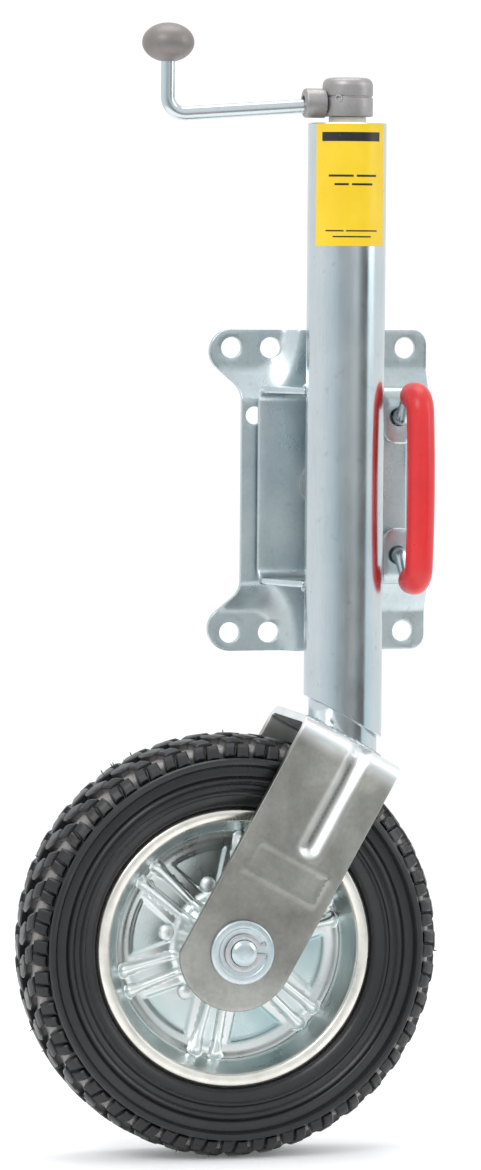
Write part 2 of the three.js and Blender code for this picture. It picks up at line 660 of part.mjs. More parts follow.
// Open ring that holds the axle's end, with its two lugs.
function axleClip() {
  const shape = new THREE.Shape();
  const gapHalf = 0.35;
  const inner = AXLE_R + GAP;
  const outer = inner + 2.2;
  shape.absarc(0, 0, outer, gapHalf, 2 * Math.PI - gapHalf);
  shape.absarc(0, 0, inner, 2 * Math.PI - gapHalf, gapHalf, true);
  shape.closePath();
  const y0 = nearFace - WASHER_T - GAP - 1.6;
  const y1 = nearFace - WASHER_T - GAP;
  const lugR = outer + 0.6;
  const lug = (a) => ring(0.9, 2.3, y0, y1, 12, 'y').translate(lugR * Math.cos(a), 0, lugR * Math.sin(a));
  return join(plateOf(shape, y0, y1, 14), lug(gapHalf), lug(-gapHalf)).rotateY(-0.6);
}

add(leaning, 'axle_clip', axleClip(), steel);

// ---------------------------------------------------------------- wheel, about the axle
const wheel = new THREE.Group();
fork.add(wheel);

const HUB_TUBE_R = 15;
const HUB_TUBE_BORE = 12.5;
const BUSH_FLANGE = 2;
const bushEnd = ARM_OUT - ARM_T - GAP;
const hubEnd = bushEnd - BUSH_FLANGE - GAP;

// One pressed rim half, as sheet of even thickness: its hub cup, its flat disc and its dished wall.
const CUP_FOOT = 33;
const WALL_FOOT = 64.3;
const onSide = (points, side) => points.map(([r, h]) => [r, side * h]);

function rimCup(side) {
  const outline = [
    [HUB_TUBE_R + GAP, 27], [24, 27], [28.5, 22], [CUP_FOOT, GAP / 2 + RIM_T],
    [31, GAP / 2 + RIM_T], [26.7, 20.8], [23.2, 25], [HUB_TUBE_R + GAP, 25],
  ];
  return turned(onSide(outline, side), 30, 'y');
}

function rimDisc(side) {
  const low = side * GAP / 2;
  const high = side * (GAP / 2 + RIM_T - GAP);
  const disc = ring(31, WALL_FOOT, Math.min(low, high), Math.max(low, high), 30, 'y');
  const hole = (i) => {
    const a = THREE.MathUtils.degToRad(48) + 2 * Math.PI * i / SPOKES;
    return bar(3.2, -5, 5, 12, 'y').translate(RIVET_RING * Math.cos(a), 0, RIVET_RING * Math.sin(a));
  };
  return cut(disc, ...Array.from({ length: SPOKES }, (unused, i) => hole(i)));
}

function rimWall(side) {
  const foot = WALL_FOOT + GAP;
  const outline = [
    [foot, 4.1], [71, 12], [79, 19], [RIM_R, 23.5],
    [RIM_R, 21.3], [80.5, 17.5], [73, 10.5], [foot, 0.5],
  ];
  return turned(onSide(outline, side), 30, 'y');
}

for (const [place, side] of [['front', -1], ['back', 1]]) {
  add(wheel, `rim_${place}`, rimDisc(side), rimZinc);
  add(wheel, `rim_${place}_cup`, rimCup(side), rimZinc);
  add(wheel, `rim_${place}_wall`, rimWall(side), rimZinc);
}

// Solid rubber tyre, its foot gripped between the two rim halves.
const TYRE_HALF = [
  [TYRE_R, 0], [TYRE_R - 1, 17], [TYRE_R - 5, 27], [112, TYRE_HALF_W],
  [99, 29], [RIM_R + 1.5, 25], [RIM_R + 1.5, 20.5], [80.5, 16.6], [73.4, 9.8], [68.5, 2.5],
];
const tyreOutline = [...TYRE_HALF.slice(1).reverse(), ...TYRE_HALF.map(([r, h]) => [r, -h])];
add(wheel, 'tyre', turned(tyreOutline, 40, 'y'), rubber);

add(wheel, 'hub_tube', ring(HUB_TUBE_BORE, HUB_TUBE_R, -hubEnd, hubEnd, 24, 'y'), steel);
for (const [place, side] of [['front', -1], ['back', 1]]) {
  const bush = [
    [AXLE_R + GAP, bushEnd - 18], [HUB_TUBE_BORE - GAP, bushEnd - 18], [HUB_TUBE_BORE - GAP, hubEnd + GAP],
    [HUB_TUBE_R, hubEnd + GAP], [HUB_TUBE_R, bushEnd], [AXLE_R + GAP, bushEnd],
  ];
  add(wheel, `hub_bush_${place}`, turned(onSide(bush, side), 24, 'y'), nylon);
}

for (let i = 0; i < SPOKES; i += 1) {
  const a = THREE.MathUtils.degToRad(48) + 2 * Math.PI * i / SPOKES;
  const seat = GAP / 2 + RIM_T + GAP;
  const rivet = [
    [0, -seat - 3.4], [3.4, -seat - 2.8], [5, -seat - 1], [5, -seat], [2.9, -seat],
    [2.9, seat], [5, seat], [5, seat + 1], [3.4, seat + 2.8], [0, seat + 3.4],
  ];
  const g = turned(rivet, 12, 'y').translate(RIVET_RING * Math.cos(a), 0, RIVET_RING * Math.sin(a));
  add(wheel, `rim_rivet_${i + 1}`, g, steel);
}

export default jack;
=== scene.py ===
"""Looks of a swing-up trailer jack: zinc-plated sheet metal, a raked fork and a knobbly tyre.

Every length below is in millimetres until mesh_object() turns it into metres. The axes are the frame's own:
the drawbar is on the +Y side, +Z runs up the tube and +X along the plate.
"""
import math

import bmesh
import bpy
import numpy as np
from mathutils import Matrix, Vector
from mathutils.geometry import delaunay_2d_cdt


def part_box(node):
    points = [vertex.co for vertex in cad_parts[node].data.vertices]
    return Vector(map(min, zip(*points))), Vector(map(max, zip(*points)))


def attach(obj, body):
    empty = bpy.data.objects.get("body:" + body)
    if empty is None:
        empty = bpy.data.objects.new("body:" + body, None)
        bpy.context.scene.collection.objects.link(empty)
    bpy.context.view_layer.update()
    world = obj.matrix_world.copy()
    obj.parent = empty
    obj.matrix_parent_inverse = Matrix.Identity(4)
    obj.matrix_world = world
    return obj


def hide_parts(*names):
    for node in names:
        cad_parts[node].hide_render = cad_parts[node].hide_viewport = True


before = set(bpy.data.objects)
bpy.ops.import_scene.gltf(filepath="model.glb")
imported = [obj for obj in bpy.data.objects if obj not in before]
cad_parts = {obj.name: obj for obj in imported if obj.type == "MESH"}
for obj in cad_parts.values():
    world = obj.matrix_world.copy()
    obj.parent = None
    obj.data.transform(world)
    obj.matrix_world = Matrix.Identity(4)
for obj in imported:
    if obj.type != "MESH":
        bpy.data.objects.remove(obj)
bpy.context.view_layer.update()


MM = 0.001
TAU = 2 * math.pi


# ---------------------------------------------------------------- places taken from the frame
def box_mm(node):
    """Lowest and highest corners of a CAD node, in millimetres, as arrays."""
    low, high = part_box(node)
    return np.array(low) / MM, np.array(high) / MM


def half_size(node, axis):
    """Half of a CAD node's size along X (0), Y (1) or Z (2)."""
    low, high = box_mm(node)
    return (high[axis] - low[axis]) / 2


def centre_mm(node):
    low, high = box_mm(node)
    return (low + high) / 2


TUBE_X, TUBE_Y = centre_mm("outer_tube")[:2]
TUBE_AXIS = (TUBE_X, TUBE_Y, 0)
TUBE_R = half_size("outer_tube", 0)
TUBE_TOP = box_mm("outer_tube")[1][2]
AXLE = centre_mm("tyre")
TYRE_R = half_size("tyre", 2)
LEAN = math.radians(29)                  # the fork arms lean back by this much
ARM_UP = np.array([math.sin(LEAN), 0, math.cos(LEAN)])
ARM_SIDE = np.array([math.cos(LEAN), 0, -math.sin(LEAN)])


# ---------------------------------------------------------------- mesh helpers
def mesh_object(name, verts, faces, material, smooth_angle=35.0):
    """A mesh object from points in millimetres, with its faces turned outwards."""
    mesh = bpy.data.meshes.new(name)
    points = [tuple(float(c) * MM for c in v) for v in verts]
    mesh.from_pydata(points, [], [list(map(int, f)) for f in faces])
    mesh.validate()
    bm = bmesh.new()
    bm.from_mesh(mesh)
    bmesh.ops.remove_doubles(bm, verts=bm.verts, dist=1e-7)
    bmesh.ops.recalc_face_normals(bm, faces=bm.faces)
    bm.to_mesh(mesh)
    bm.free()
    mesh.shade_smooth()
    mesh.set_sharp_from_angle(angle=math.radians(smooth_angle))
    obj = bpy.data.objects.new(name, mesh)
    bpy.context.scene.collection.objects.link(obj)
    obj.data.materials.append(material)
    return obj


def merged(*shapes):
    """Several (verts, faces) pairs as one."""
    verts = []
    faces = []
    for shape_verts, shape_faces in shapes:
        base = len(verts)
        verts.extend([tuple(v) for v in shape_verts])
        faces.extend([[base + i for i in f] for f in shape_faces])
    return verts, faces


def joined(a, b, is_ring=True):
    """Quads between two rows of vertex indices; is_ring joins the rows' ends to their starts as well."""
    count = len(a)
    steps = [(k, (k + 1) % count) for k in range(count if is_ring else count - 1)]
    return [[a[k], a[m], b[m], b[k]] for k, m in steps]


def layered(front, back, is_ring):
    """Faces of a sheet from two matching grids of vertex indices."""
    pairs = [pair for layer in (front, back) for pair in zip(layer[:-1], layer[1:])]
    pairs += [(front[0], back[0]), (front[-1], back[-1])]
    faces = [face for a, b in pairs for face in joined(a, b, is_ring)]
    if not is_ring:
        for end in (0, -1):
            faces += joined(front[:, end], back[:, end], False)
    return faces


def arc(x, y, r, start, end, count):
    """Points on an arc, with both of its ends."""
    angles = [start + (end - start) * k / count for k in range(count + 1)]
    return [(x + r * math.cos(a), y + r * math.sin(a)) for a in angles]


def circle(x, y, r, count=40):
    return arc(x, y, r, 0, TAU, count)[:-1]


def rounded(points, radius, steps=3, is_closed=True):
    """A 2-D outline whose corners are rounded. A point may carry its own radius as a third number."""
    count = len(points)
    result = []
    for i, point in enumerate(points):
        here = np.array(point[:2], float)
        r = point[2] if len(point) > 2 else radius
        if r <= 0 or (not is_closed and i in (0, count - 1)):
            result.append(here)
            continue
        before = np.array(points[i - 1][:2], float) - here
        after = np.array(points[(i + 1) % count][:2], float) - here
        before_length = np.linalg.norm(before)
        after_length = np.linalg.norm(after)
        reach = min(r, before_length * 0.49, after_length * 0.49)
        start = here + before / before_length * reach
        end = here + after / after_length * reach
        for k in range(steps + 1):
            t = k / steps
            result.append(start * (1 - t) ** 2 + here * 2 * t * (1 - t) + end * t * t)
    return result


def lathe(profile, segments=96, axis="z", centre=(0, 0, 0)):
    """Revolve a closed loop of (radius, height) points; points at radius 0 close on the axis.

    profile is the loop itself, or a function that gives the loop at an angle.
    """
    loop_at = profile if callable(profile) else (lambda a: profile)
    on_axis = [r <= 1e-9 for r, _ in loop_at(0)]
    count = len(on_axis)
    verts = []
    faces = []
    for j in range(segments):
        a = TAU * j / segments
        for r, h in loop_at(a):
            x, side = r * math.cos(a), r * math.sin(a)
            offset = (x, side, h) if axis == "z" else (x, h, side)
            verts.append(tuple(c + o for c, o in zip(centre, offset)))
    for j in range(segments):
        here, there = j * count, (j + 1) % segments * count
        for i in range(count):
            k = (i + 1) % count
            if on_axis[i] and on_axis[k]:
                continue
            quad = [here + i, here + k, there + k, there + i]
            if on_axis[i]:
                quad = quad[:3]
            elif on_axis[k]:
                quad = [quad[0], quad[1], quad[3]]
            faces.append(quad)
    return verts, faces


def sweep(path, radius, sides=24, is_closed=False, bore=0.0, end_round=0.0):
    """A round bar or sleeve along a path. radius is a number or a function of the share travelled."""
    points = np.array(path, float)
    last = len(points) - 1
    after = np.roll(points, -1, axis=0) - points
    before = points - np.roll(points, 1, axis=0)
    if not is_closed:
        after[-1] = before[-1]
        before[0] = after[0]
    after /= np.linalg.norm(after, axis=1)[:, None]
    before /= np.linalg.norm(before, axis=1)[:, None]
    tangent = after + before
    tangent /= np.linalg.norm(tangent, axis=1)[:, None]
    side = np.cross(tangent[0], (0.31, 0.53, 0.79))
    frames = []
    for along in tangent:
        side = side - along * np.dot(side, along)
        side /= np.linalg.norm(side)
        frames.append((side.copy(), np.cross(along, side)))

    # Each ring is a place on the path, a radius and a step along the path from that place.
    radius_at = radius if callable(radius) else (lambda t: radius)
    turns = [math.pi / 2 * k / 4 for k in range(5)] if end_round else [math.pi / 2]
    rounding = [(end_round * (1 - math.sin(a)), end_round * (1 - math.cos(a))) for a in turns]
    rings = [(0, radius_at(0) - less, step) for less, step in rounding]
    rings += [(i, radius_at(i / last), 0.0) for i in range(1, last)]
    rings += [(last, radius_at(1) - less, -step) for less, step in reversed(rounding)]
    if bore:
        rings += [(i, bore, 0.0) for i in range(last, -1, -1)]
    angles = [TAU * k / sides for k in range(sides)]
    verts = []
    for i, r, step in rings:
        u, v = frames[i]
        middle = points[i] + tangent[i] * step
        verts += [middle + r * (u * math.cos(a) + v * math.sin(a)) for a in angles]
    rows = np.arange(len(verts)).reshape(-1, sides)
    faces = [face for a, b in zip(rows[:-1], rows[1:]) for face in joined(a, b)]
    if is_closed or bore:
        faces += joined(rows[-1], rows[0])
    else:
        faces += [rows[0][::-1], rows[-1]]
    return verts, faces


def bent(corners, radius, pieces=12):
    """Straight runs between corner points, each corner turned on an arc of that radius."""
    corners = [np.array(c, float) for c in corners]
    path = [corners[0]]
    for i in range(1, len(corners) - 1):
        back = corners[i - 1] - corners[i]
        on = corners[i + 1] - corners[i]
        back /= np.linalg.norm(back)
        on /= np.linalg.norm(on)
        half = math.acos(max(-1.0, min(1.0, float(np.dot(back, on))))) / 2
        setback = radius / math.tan(half)
        start = corners[i] + back * setback
        end = corners[i] + on * setback
        middle = corners[i] + (back + on) / np.linalg.norm(back + on) * radius / math.sin(half)
        for k in range(pieces + 1):
            t = k / pieces
            p = start * (1 - t) + end * t
            path.append(middle + (p - middle) / np.linalg.norm(p - middle) * radius)
    path.append(corners[-1])
    return path


def filled(path, gap):
    """The same path with no two points further apart than gap."""
    result = [path[0]]
    for a, b in zip(path[:-1], path[1:]):
        pieces = max(1, math.ceil(np.linalg.norm(b - a) / gap))
        result.extend(a + (b - a) * k / pieces for k in range(1, pieces + 1))
    return result


def inside(points, loop):
    """Which 2-D points lie inside a loop."""
    x, y = points[:, 0], points[:, 1]
    result = np.zeros(len(points), bool)
    for a, b in zip(loop, np.roll(loop, -1, axis=0)):
        crosses = (a[1] > y) != (b[1] > y)
        with np.errstate(divide="ignore", invalid="ignore"):
            at = (b[0] - a[0]) * (y - a[1]) / (b[1] - a[1]) + a[0]
        result ^= crosses & (x < at)
    return result


def even_loop(points, gap):
    """A closed 2-D loop with points no further apart than gap, running anticlockwise."""
    loop = np.array(points, float)[:, :2]
    area = np.sum(loop[:, 0] * np.roll(loop[:, 1], -1) - loop[:, 1] * np.roll(loop[:, 0], -1))
    if area < 0:
        loop = loop[::-1]
    result = []
    for a, b in zip(loop, np.roll(loop, -1, axis=0)):
        length = np.linalg.norm(b - a)
        if length < 1e-6:
            continue
        pieces = max(1, math.ceil(length / gap))
        result.extend(a + (b - a) * k / pieces for k in range(pieces))
    return np.array(result)


def inset(loop, distance):
    """The loop moved to its left by that distance, mitred at its corners."""
    along = np.roll(loop, -1, axis=0) - loop
    along /= np.linalg.norm(along, axis=1)[:, None]
    normal = np.stack([-along[:, 1], along[:, 0]], axis=1)
    mean = normal + np.roll(normal, 1, axis=0)
    length = np.linalg.norm(mean, axis=1)[:, None]
    mean /= np.maximum(length, 1e-6)
    stretch = 1 / np.maximum(np.sum(mean * normal, axis=1), 0.5)
    return loop + mean * stretch[:, None] * distance


def staggered_grid(low, high, spacing):
    """Points in rows, each row half a space along from the one below it."""
    rows = []
    y = low[1]
    while y < high[1]:
        xs = np.arange(low[0] + (spacing / 2 if len(rows) % 2 else 0), high[0], spacing)
        rows.append(np.stack([xs, np.full(len(xs), y)], axis=1))
        y += spacing * 0.866
    return np.concatenate(rows)


def within(points, rims):
    """Which 2-D points lie inside the first loop and outside all the others."""
    result = inside(points, rims[0])
    for rim in rims[1:]:
        result &= ~inside(points, rim)
    return result


def sheet_part(outer, holes, surface, thickness, edge=0.6, spacing=4.0, step=2.0):
    """Sheet metal from a flat pattern: an outline with holes, laid on a surface and given thickness.

    surface maps an (n, 2) array of pattern points to (points, normals). Every cut edge is rounded by edge.
    """
    loops = [even_loop(outer, step)] + [even_loop(h, step)[::-1] for h in holes]
    rims = [inset(loop, edge) for loop in loops]
    border = np.concatenate(rims)
    grid = staggered_grid(loops[0].min(0), loops[0].max(0), spacing)
    grid = grid[within(grid, rims)]
    nearest = np.full(len(grid), 1e9)
    for start in range(0, len(border), 200):
        apart = np.linalg.norm(grid[:, None, :] - border[None, start:start + 200, :], axis=2)
        nearest = np.minimum(nearest, apart.min(axis=1))
    grid = grid[nearest > 0.55 * spacing]
    edges = []
    base = 0
    for rim in rims:
        n = len(rim)
        edges.extend((base + i, base + (i + 1) % n) for i in range(n))
        base += n
    out = delaunay_2d_cdt([Vector(p) for p in np.concatenate([border, grid])], edges, [], 1, 1e-5, True)
    points = np.array([tuple(v) for v in out[0]])
    triangles = np.array([list(f) for f in out[2]])
    triangles = triangles[within(points[triangles].mean(axis=1), rims)]

    at, normal = surface(points)
    verts = list(at + normal * thickness / 2) + list(at - normal * thickness / 2)
    faces = list(triangles) + list(triangles[:, ::-1] + len(points))
    turns = [math.pi / 2 * k / 3 for k in range(4)]
    for loop, rim in zip(loops, rims):
        rings = []
        for side, a in [(1, a) for a in turns] + [(-1, a) for a in reversed(turns)]:
            ring_at, ring_normal = surface(loop + (rim - loop) * (1 - math.sin(a)))
            depth = thickness / 2 - edge * (1 - math.cos(a))
            rings.append(range(len(verts), len(verts) + len(loop)))
            verts.extend(ring_at + ring_normal * side * depth)
        for a, b in zip(rings[:-1], rings[1:]):
            faces += joined(a, b)
    return verts, faces


def blend_step(x, low, high):
    t = np.clip((np.asarray(x, float) - low) / (high - low), 0, 1)
    return t * t * (3 - 2 * t)


# ---------------------------------------------------------------- material helpers
class Look:
    """A node tree and its shader, with short ways to add nodes."""

    def __init__(self, owner, shader="Principled BSDF"):
        owner.use_nodes = True
        self.owner = owner
        self.nodes = owner.node_tree.nodes
        self.links = owner.node_tree.links
        self.shader = self.nodes[shader]

    def feed(self, socket, value):
        """Link an output to an input, or give the input a number or a colour."""
        if isinstance(value, bpy.types.NodeSocket):
            self.links.new(value, socket)
        elif isinstance(value, (int, float)):
            socket.default_value = value
        else:
            socket.default_value = (*value, 1)

    def set(self, name, value):
        self.feed(self.shader.inputs[name], value)

    def noise(self, scale, detail=4.0, stretch=(1, 1, 1)):
        """Noise over the object's own coordinates, which can be stretched along an axis."""
        mapping = self.nodes.new("ShaderNodeMapping")
        mapping.inputs["Scale"].default_value = stretch
        self.feed(mapping.inputs["Vector"], self.nodes.new("ShaderNodeTexCoord").outputs["Object"])
        texture = self.nodes.new("ShaderNodeTexNoise")
        self.feed(texture.inputs["Vector"], mapping.outputs["Vector"])
        self.feed(texture.inputs["Scale"], scale)
        self.feed(texture.inputs["Detail"], detail)
        self.feed(texture.inputs["Roughness"], 0.55)
        return texture.outputs["Fac"]

    def ramp(self, value, *stops):
        """A colour ramp over value. Each stop is a position and a colour or a grey level."""
        node = self.nodes.new("ShaderNodeValToRGB")
        elements = node.color_ramp.elements
        while len(elements) < len(stops):
            elements.new(0.5)
        for element, (position, colour) in zip(elements, stops):
            element.position = position
            element.color = (*colour, 1) if isinstance(colour, tuple) else (colour, colour, colour, 1)
        self.feed(node.inputs["Fac"], value)
        return node.outputs["Color"]

    def mix(self, factor, a, b, kind="MIX"):
        node = self.nodes.new("ShaderNodeMix")
        node.data_type = "RGBA"
        node.blend_type = kind
        for name, value in (("Factor", factor), ("A", a), ("B", b)):
            self.feed(node.inputs[name], value)
        return node.outputs["Result"]

    def maths(self, operation, a, b=0.0, c=0.5, clamp=False):
        node = self.nodes.new("ShaderNodeMath")
        node.operation = operation
        node.use_clamp = clamp
        for socket, value in zip(node.inputs, (a, b, c)):
            self.feed(socket, value)
        return node.outputs["Value"]

    def axes(self, vector):
        """The X, Y and Z of a vector."""
        split = self.nodes.new("ShaderNodeSeparateXYZ")
        self.feed(split.inputs["Vector"], vector)
        return split.outputs["X"], split.outputs["Y"], split.outputs["Z"]

    def marks(self, layer):
        """How strongly the mesh's vertex colours mark a place in red, and in green."""
        colour = self.nodes.new("ShaderNodeVertexColor")
        colour.layer_name = layer
        parts = self.nodes.new("ShaderNodeSeparateColor")
        self.feed(parts.inputs["Color"], colour.outputs["Color"])
        return parts.outputs["Red"], parts.outputs["Green"]

    def overlay(self, layer, red_tone, green_tone):
        """Lay two more tones over the base colour, where the mesh is marked red and green."""
        red, green = self.marks(layer)
        plain = self.shader.inputs["Base Color"].links[0].from_socket
        self.set("Base Color", self.mix(green, self.mix(red, plain, red_tone), green_tone))

    def bump(self, *heights):
        """Stack (height, strength, distance) bumps on the shader."""
        normal = None
        for height, strength, distance in heights:
            node = self.nodes.new("ShaderNodeBump")
            self.feed(node.inputs["Strength"], strength)
            self.feed(node.inputs["Distance"], distance)
            self.feed(node.inputs["Height"], height)
            if normal is not None:
                self.feed(node.inputs["Normal"], normal)
            normal = node.outputs["Normal"]
        self.set("Normal", normal)


def zinc(name, light, dark, rough=(0.22, 0.42), grain=(1, 1, 1), wear=0.35, grain_strength=0.12):
    """Zinc plate: a cloudy passivated tone, fine grain, brighter rubbed patches and faint dull spots."""
    look = Look(bpy.data.materials.new(name))
    cloud = look.noise(22, 5)
    fine = look.noise(420, 3, grain)
    rubbed = look.noise(60, 6, (1, 1, 0.4))
    warm = look.ramp(look.noise(9, 3), (0.42, 0.5), (0.7, (0.52, 0.5, 0.46)))
    specks = look.ramp(look.noise(150, 2), (0.26, 0.0), (0.36, 1.0))
    tone = look.mix(0.5, look.ramp(cloud, (0.3, dark), (0.72, light)), warm, "OVERLAY")
    tone = look.mix(0.1, tone, specks, "MULTIPLY")
    look.set("Base Color", look.mix(0.35, tone, look.ramp(fine, (0.3, 0.42), (0.7, 0.58)), "OVERLAY"))
    look.set("Metallic", 1.0)
    look.set("Roughness", look.ramp(rubbed, (0.35, rough[1]), (0.68, rough[0])))
    look.bump((cloud, 0.03, 0.001), (fine, grain_strength, 0.0001), (rubbed, wear * 0.1, 0.0003))
    return look


def zinc_with_painted_light():
    """Dull rubbed zinc with painted light: a painted highlight where the mesh is marked red and a painted
    shade where it is marked green.
    """
    look = zinc("zinc_brushed", (0.40, 0.40, 0.375), (0.20, 0.20, 0.186), (0.30, 0.46), (1, 1, 1), 0.3, 0.2)
    # Painted highlight: a near-white tone where the mesh is marked red. The green marks lay a dark painted
    # shade.
    bright = look.ramp(look.noise(30, 4), (0.3, (0.78, 0.81, 0.81)), (0.7, (0.92, 0.93, 0.92)))
    look.overlay("painted_highlight_and_shade", bright, (0.035, 0.04, 0.045))
    return look


def rim_zinc():
    """Bright zinc, with a darker blue-green painted shade where the mesh is marked red, and creamy where it
    is marked green.
    """
    look = zinc("rim_zinc", (0.80, 0.82, 0.81), (0.68, 0.72, 0.72), (0.24, 0.36), wear=0.06)
    # Painted shade: a darker blue-green tone for the recesses marked red.
    blue = look.ramp(look.noise(14, 3), (0.35, (0.38, 0.51, 0.525)), (0.65, (0.66, 0.72, 0.71)))
    cream = look.ramp(look.noise(90, 4), (0.3, (0.70, 0.68, 0.62)), (0.7, (0.86, 0.84, 0.78)))
    look.overlay("place", blue, cream)
    return look


def satin(name, light, dark, rough, metallic=0.0, texture=300, depth=0.15):
    """A moulded, cast or printed surface with a fine texture and slight changes of tone."""
    look = Look(bpy.data.materials.new(name))
    cloud = look.noise(35, 4)
    fine = look.noise(texture, 3)
    tone = look.ramp(cloud, (0.3, dark), (0.7, light))
    look.set("Base Color", look.mix(0.4, tone, look.ramp(fine, (0.3, 0.44), (0.7, 0.56)), "OVERLAY"))
    look.set("Metallic", metallic)
    look.set("Specular IOR Level", 0.5)
    look.set("Roughness", look.ramp(cloud, (0.3, rough[1]), (0.7, rough[0])))
    look.bump((fine, depth, 0.0003), (cloud, 0.05, 0.001))
    return look


def rubber():
    """Black rubber, with light dust where the mesh is marked red."""
    look = Look(bpy.data.materials.new("tyre_rubber"))
    cloud = look.noise(25, 5)
    fine = look.noise(500, 4)
    tone = look.ramp(cloud, (0.3, (0.006, 0.006, 0.007)), (0.72, (0.016, 0.0155, 0.017)))
    patchy = look.maths("MULTIPLY", look.marks("dust")[0], look.maths("ADD", fine, 0.45), clamp=True)
    look.set("Base Color", look.mix(patchy, tone, (0.27, 0.255, 0.245)))
    look.set("Roughness", look.ramp(cloud, (0.3, 0.42), (0.7, 0.26)))
    look.set("Specular IOR Level", 0.5)
    look.bump((fine, 0.25, 0.0004), (cloud, 0.1, 0.001))
    return look


def label_print():
    """Yellow film printed with plain bars: a dark header and two groups of lines of different lengths."""
    look = Look(bpy.data.materials.new("label_print"))
    layout = look.nodes.new("ShaderNodeUVMap")
    layout.uv_map = "print"
    u, v, _ = look.axes(layout.outputs["UV"])

    def between(value, low, high):
        above = look.maths("GREATER_THAN", value, low)
        return look.maths("MULTIPLY", above, look.maths("LESS_THAN", value, high))

    # Each row of bars: its lower and upper edge, and where its bars start and end.
    rows = [
        (0.855, 0.93, [(0.10, 0.90)]), (0.565, 0.583, [(0.2, 0.52), (0.56, 0.84)]),
        (0.495, 0.513, [(0.28, 0.46), (0.5, 0.78)]), (0.118, 0.13, [(0.16, 0.4), (0.43, 0.86)]),
        (0.07, 0.082, [(0.26, 0.76)]),
    ]
    ink = 0.0
    for bottom, top, spans in rows:
        for left, right in spans:
            bar = look.maths("MULTIPLY", between(u, left, right), between(v, bottom, top))
            ink = look.maths("MAXIMUM", ink, bar)
    ink = look.maths("MULTIPLY", ink, look.ramp(look.noise(900, 3), (0.22, 0.4), (0.34, 1.0)))
    cloud = look.noise(40, 3)
    film = look.ramp(cloud, (0.3, (0.84, 0.55, 0.010)), (0.7, (0.90, 0.62, 0.02)))
    look.set("Base Color", look.mix(ink, film, (0.012, 0.012, 0.012)))
    look.set("Roughness", look.ramp(cloud, (0.3, 0.42), (0.7, 0.3)))
    look.bump((look.noise(120, 2), 0.06, 0.0005))
    return look


LOOKS = {
    "zinc_bright": zinc("zinc_bright", (0.62, 0.68, 0.70), (0.46, 0.54, 0.57)),
    "zinc_tube": zinc("zinc_tube", (0.64, 0.69, 0.71), (0.55, 0.61, 0.64), (0.14, 0.24), (6, 6, 0.15), 0.1),
    # Zinc carrying the yoke's painted highlight and painted shade.
    "zinc_brushed": zinc_with_painted_light(),
    "rim_zinc": rim_zinc(),
    "rivet_zinc": zinc("rivet_zinc", (0.88, 0.90, 0.90), (0.76, 0.79, 0.79), (0.42, 0.55), wear=0.1),
    "plain_steel": zinc("plain_steel", (0.58, 0.59, 0.60), (0.44, 0.46, 0.48), (0.25, 0.42)),
    "weld": zinc("weld", (0.60, 0.64, 0.65), (0.40, 0.44, 0.46), (0.3, 0.5), wear=0.8, grain_strength=0.3),
    "cast_grey": satin("cast_grey", (0.42, 0.40, 0.395), (0.33, 0.315, 0.31), (0.38, 0.52), 0.75, 260, 0.3),
    "knob_grey": satin("knob_grey", (0.27, 0.245, 0.235), (0.21, 0.19, 0.18), (0.36, 0.46), 0.35, 400, 0.12),
    "brass": satin("brass", (0.62, 0.46, 0.18), (0.50, 0.36, 0.13), (0.28, 0.4), 1.0, 300, 0.1),
    "nylon": satin("nylon", (0.80, 0.77, 0.68), (0.72, 0.69, 0.60), (0.4, 0.5), 0.0, 300, 0.08),
    "red_vinyl": satin("red_vinyl", (0.72, 0.028, 0.030), (0.62, 0.020, 0.022), (0.26, 0.36), 0.0, 250, 0.1),
    "tyre_rubber": rubber(),
    "label_yellow": label_print(),
}


def piece(name, shape, material, body, replaces=(), smooth_angle=35.0):
    """One finished piece: its mesh, its material, the body it rides on and the CAD nodes it stands for."""
    obj = mesh_object(name, shape[0], shape[1], LOOKS[material].owner, smooth_angle)
    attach(obj, body)
    if replaces:
        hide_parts(*replaces)
    return obj


# ---------------------------------------------------------------- mounting plate
PLATE_T = 4.0
PLATE_RISE = 2 * half_size("mounting_plate", 1) - PLATE_T
PLATE_HALF_X, _, PLATE_HALF_Z = box_mm("mounting_plate")[1]
HOLE_X = (-56, -31, 56)
HOLE_Z = 89
HOLE_R = 6.5
LOCK_HOLE_R = 5.5
PIVOT_Z = 4.0
PIN_OFFSET = 43.0                        # of the lock pins and their holes, along X and Z from the pivot
RIB_HALF, RIB_RUN = 12.5, 7.5
BAND_HALF, BAND_RUN = 56.0, 21.0
PLATE_BLEND = 24.0
WAIST_X = -51.0


def plate_raised(x, z):
    """How far the pressing stands off the drawbar, from 0 on the pads to 1 on the rib and band."""
    beside_rib = np.abs(x) - RIB_HALF
    beside_band = (np.abs(z) - BAND_HALF) * (RIB_RUN / BAND_RUN)
    blend = np.maximum(PLATE_BLEND - np.abs(beside_rib - beside_band), 0)
    away = np.minimum(beside_rib, beside_band) - blend ** 2 / (4 * PLATE_BLEND)
    t = np.clip(away / RIB_RUN, 0, 1)
    soft = 0.14
    line = np.clip((t - soft / 2) / (1 - soft), 0, 1)
    return 1 - (0.65 * line + 0.35 * t * t * (3 - 2 * t))


def plate_surface(flat):
    x, z = flat[:, 0], flat[:, 1]
    y = -PLATE_T / 2 - PLATE_RISE * plate_raised(x, z)
    normal = np.tile([0.0, -1.0, 0.0], (len(flat), 1))
    return np.stack([x, y, z], axis=1), normal


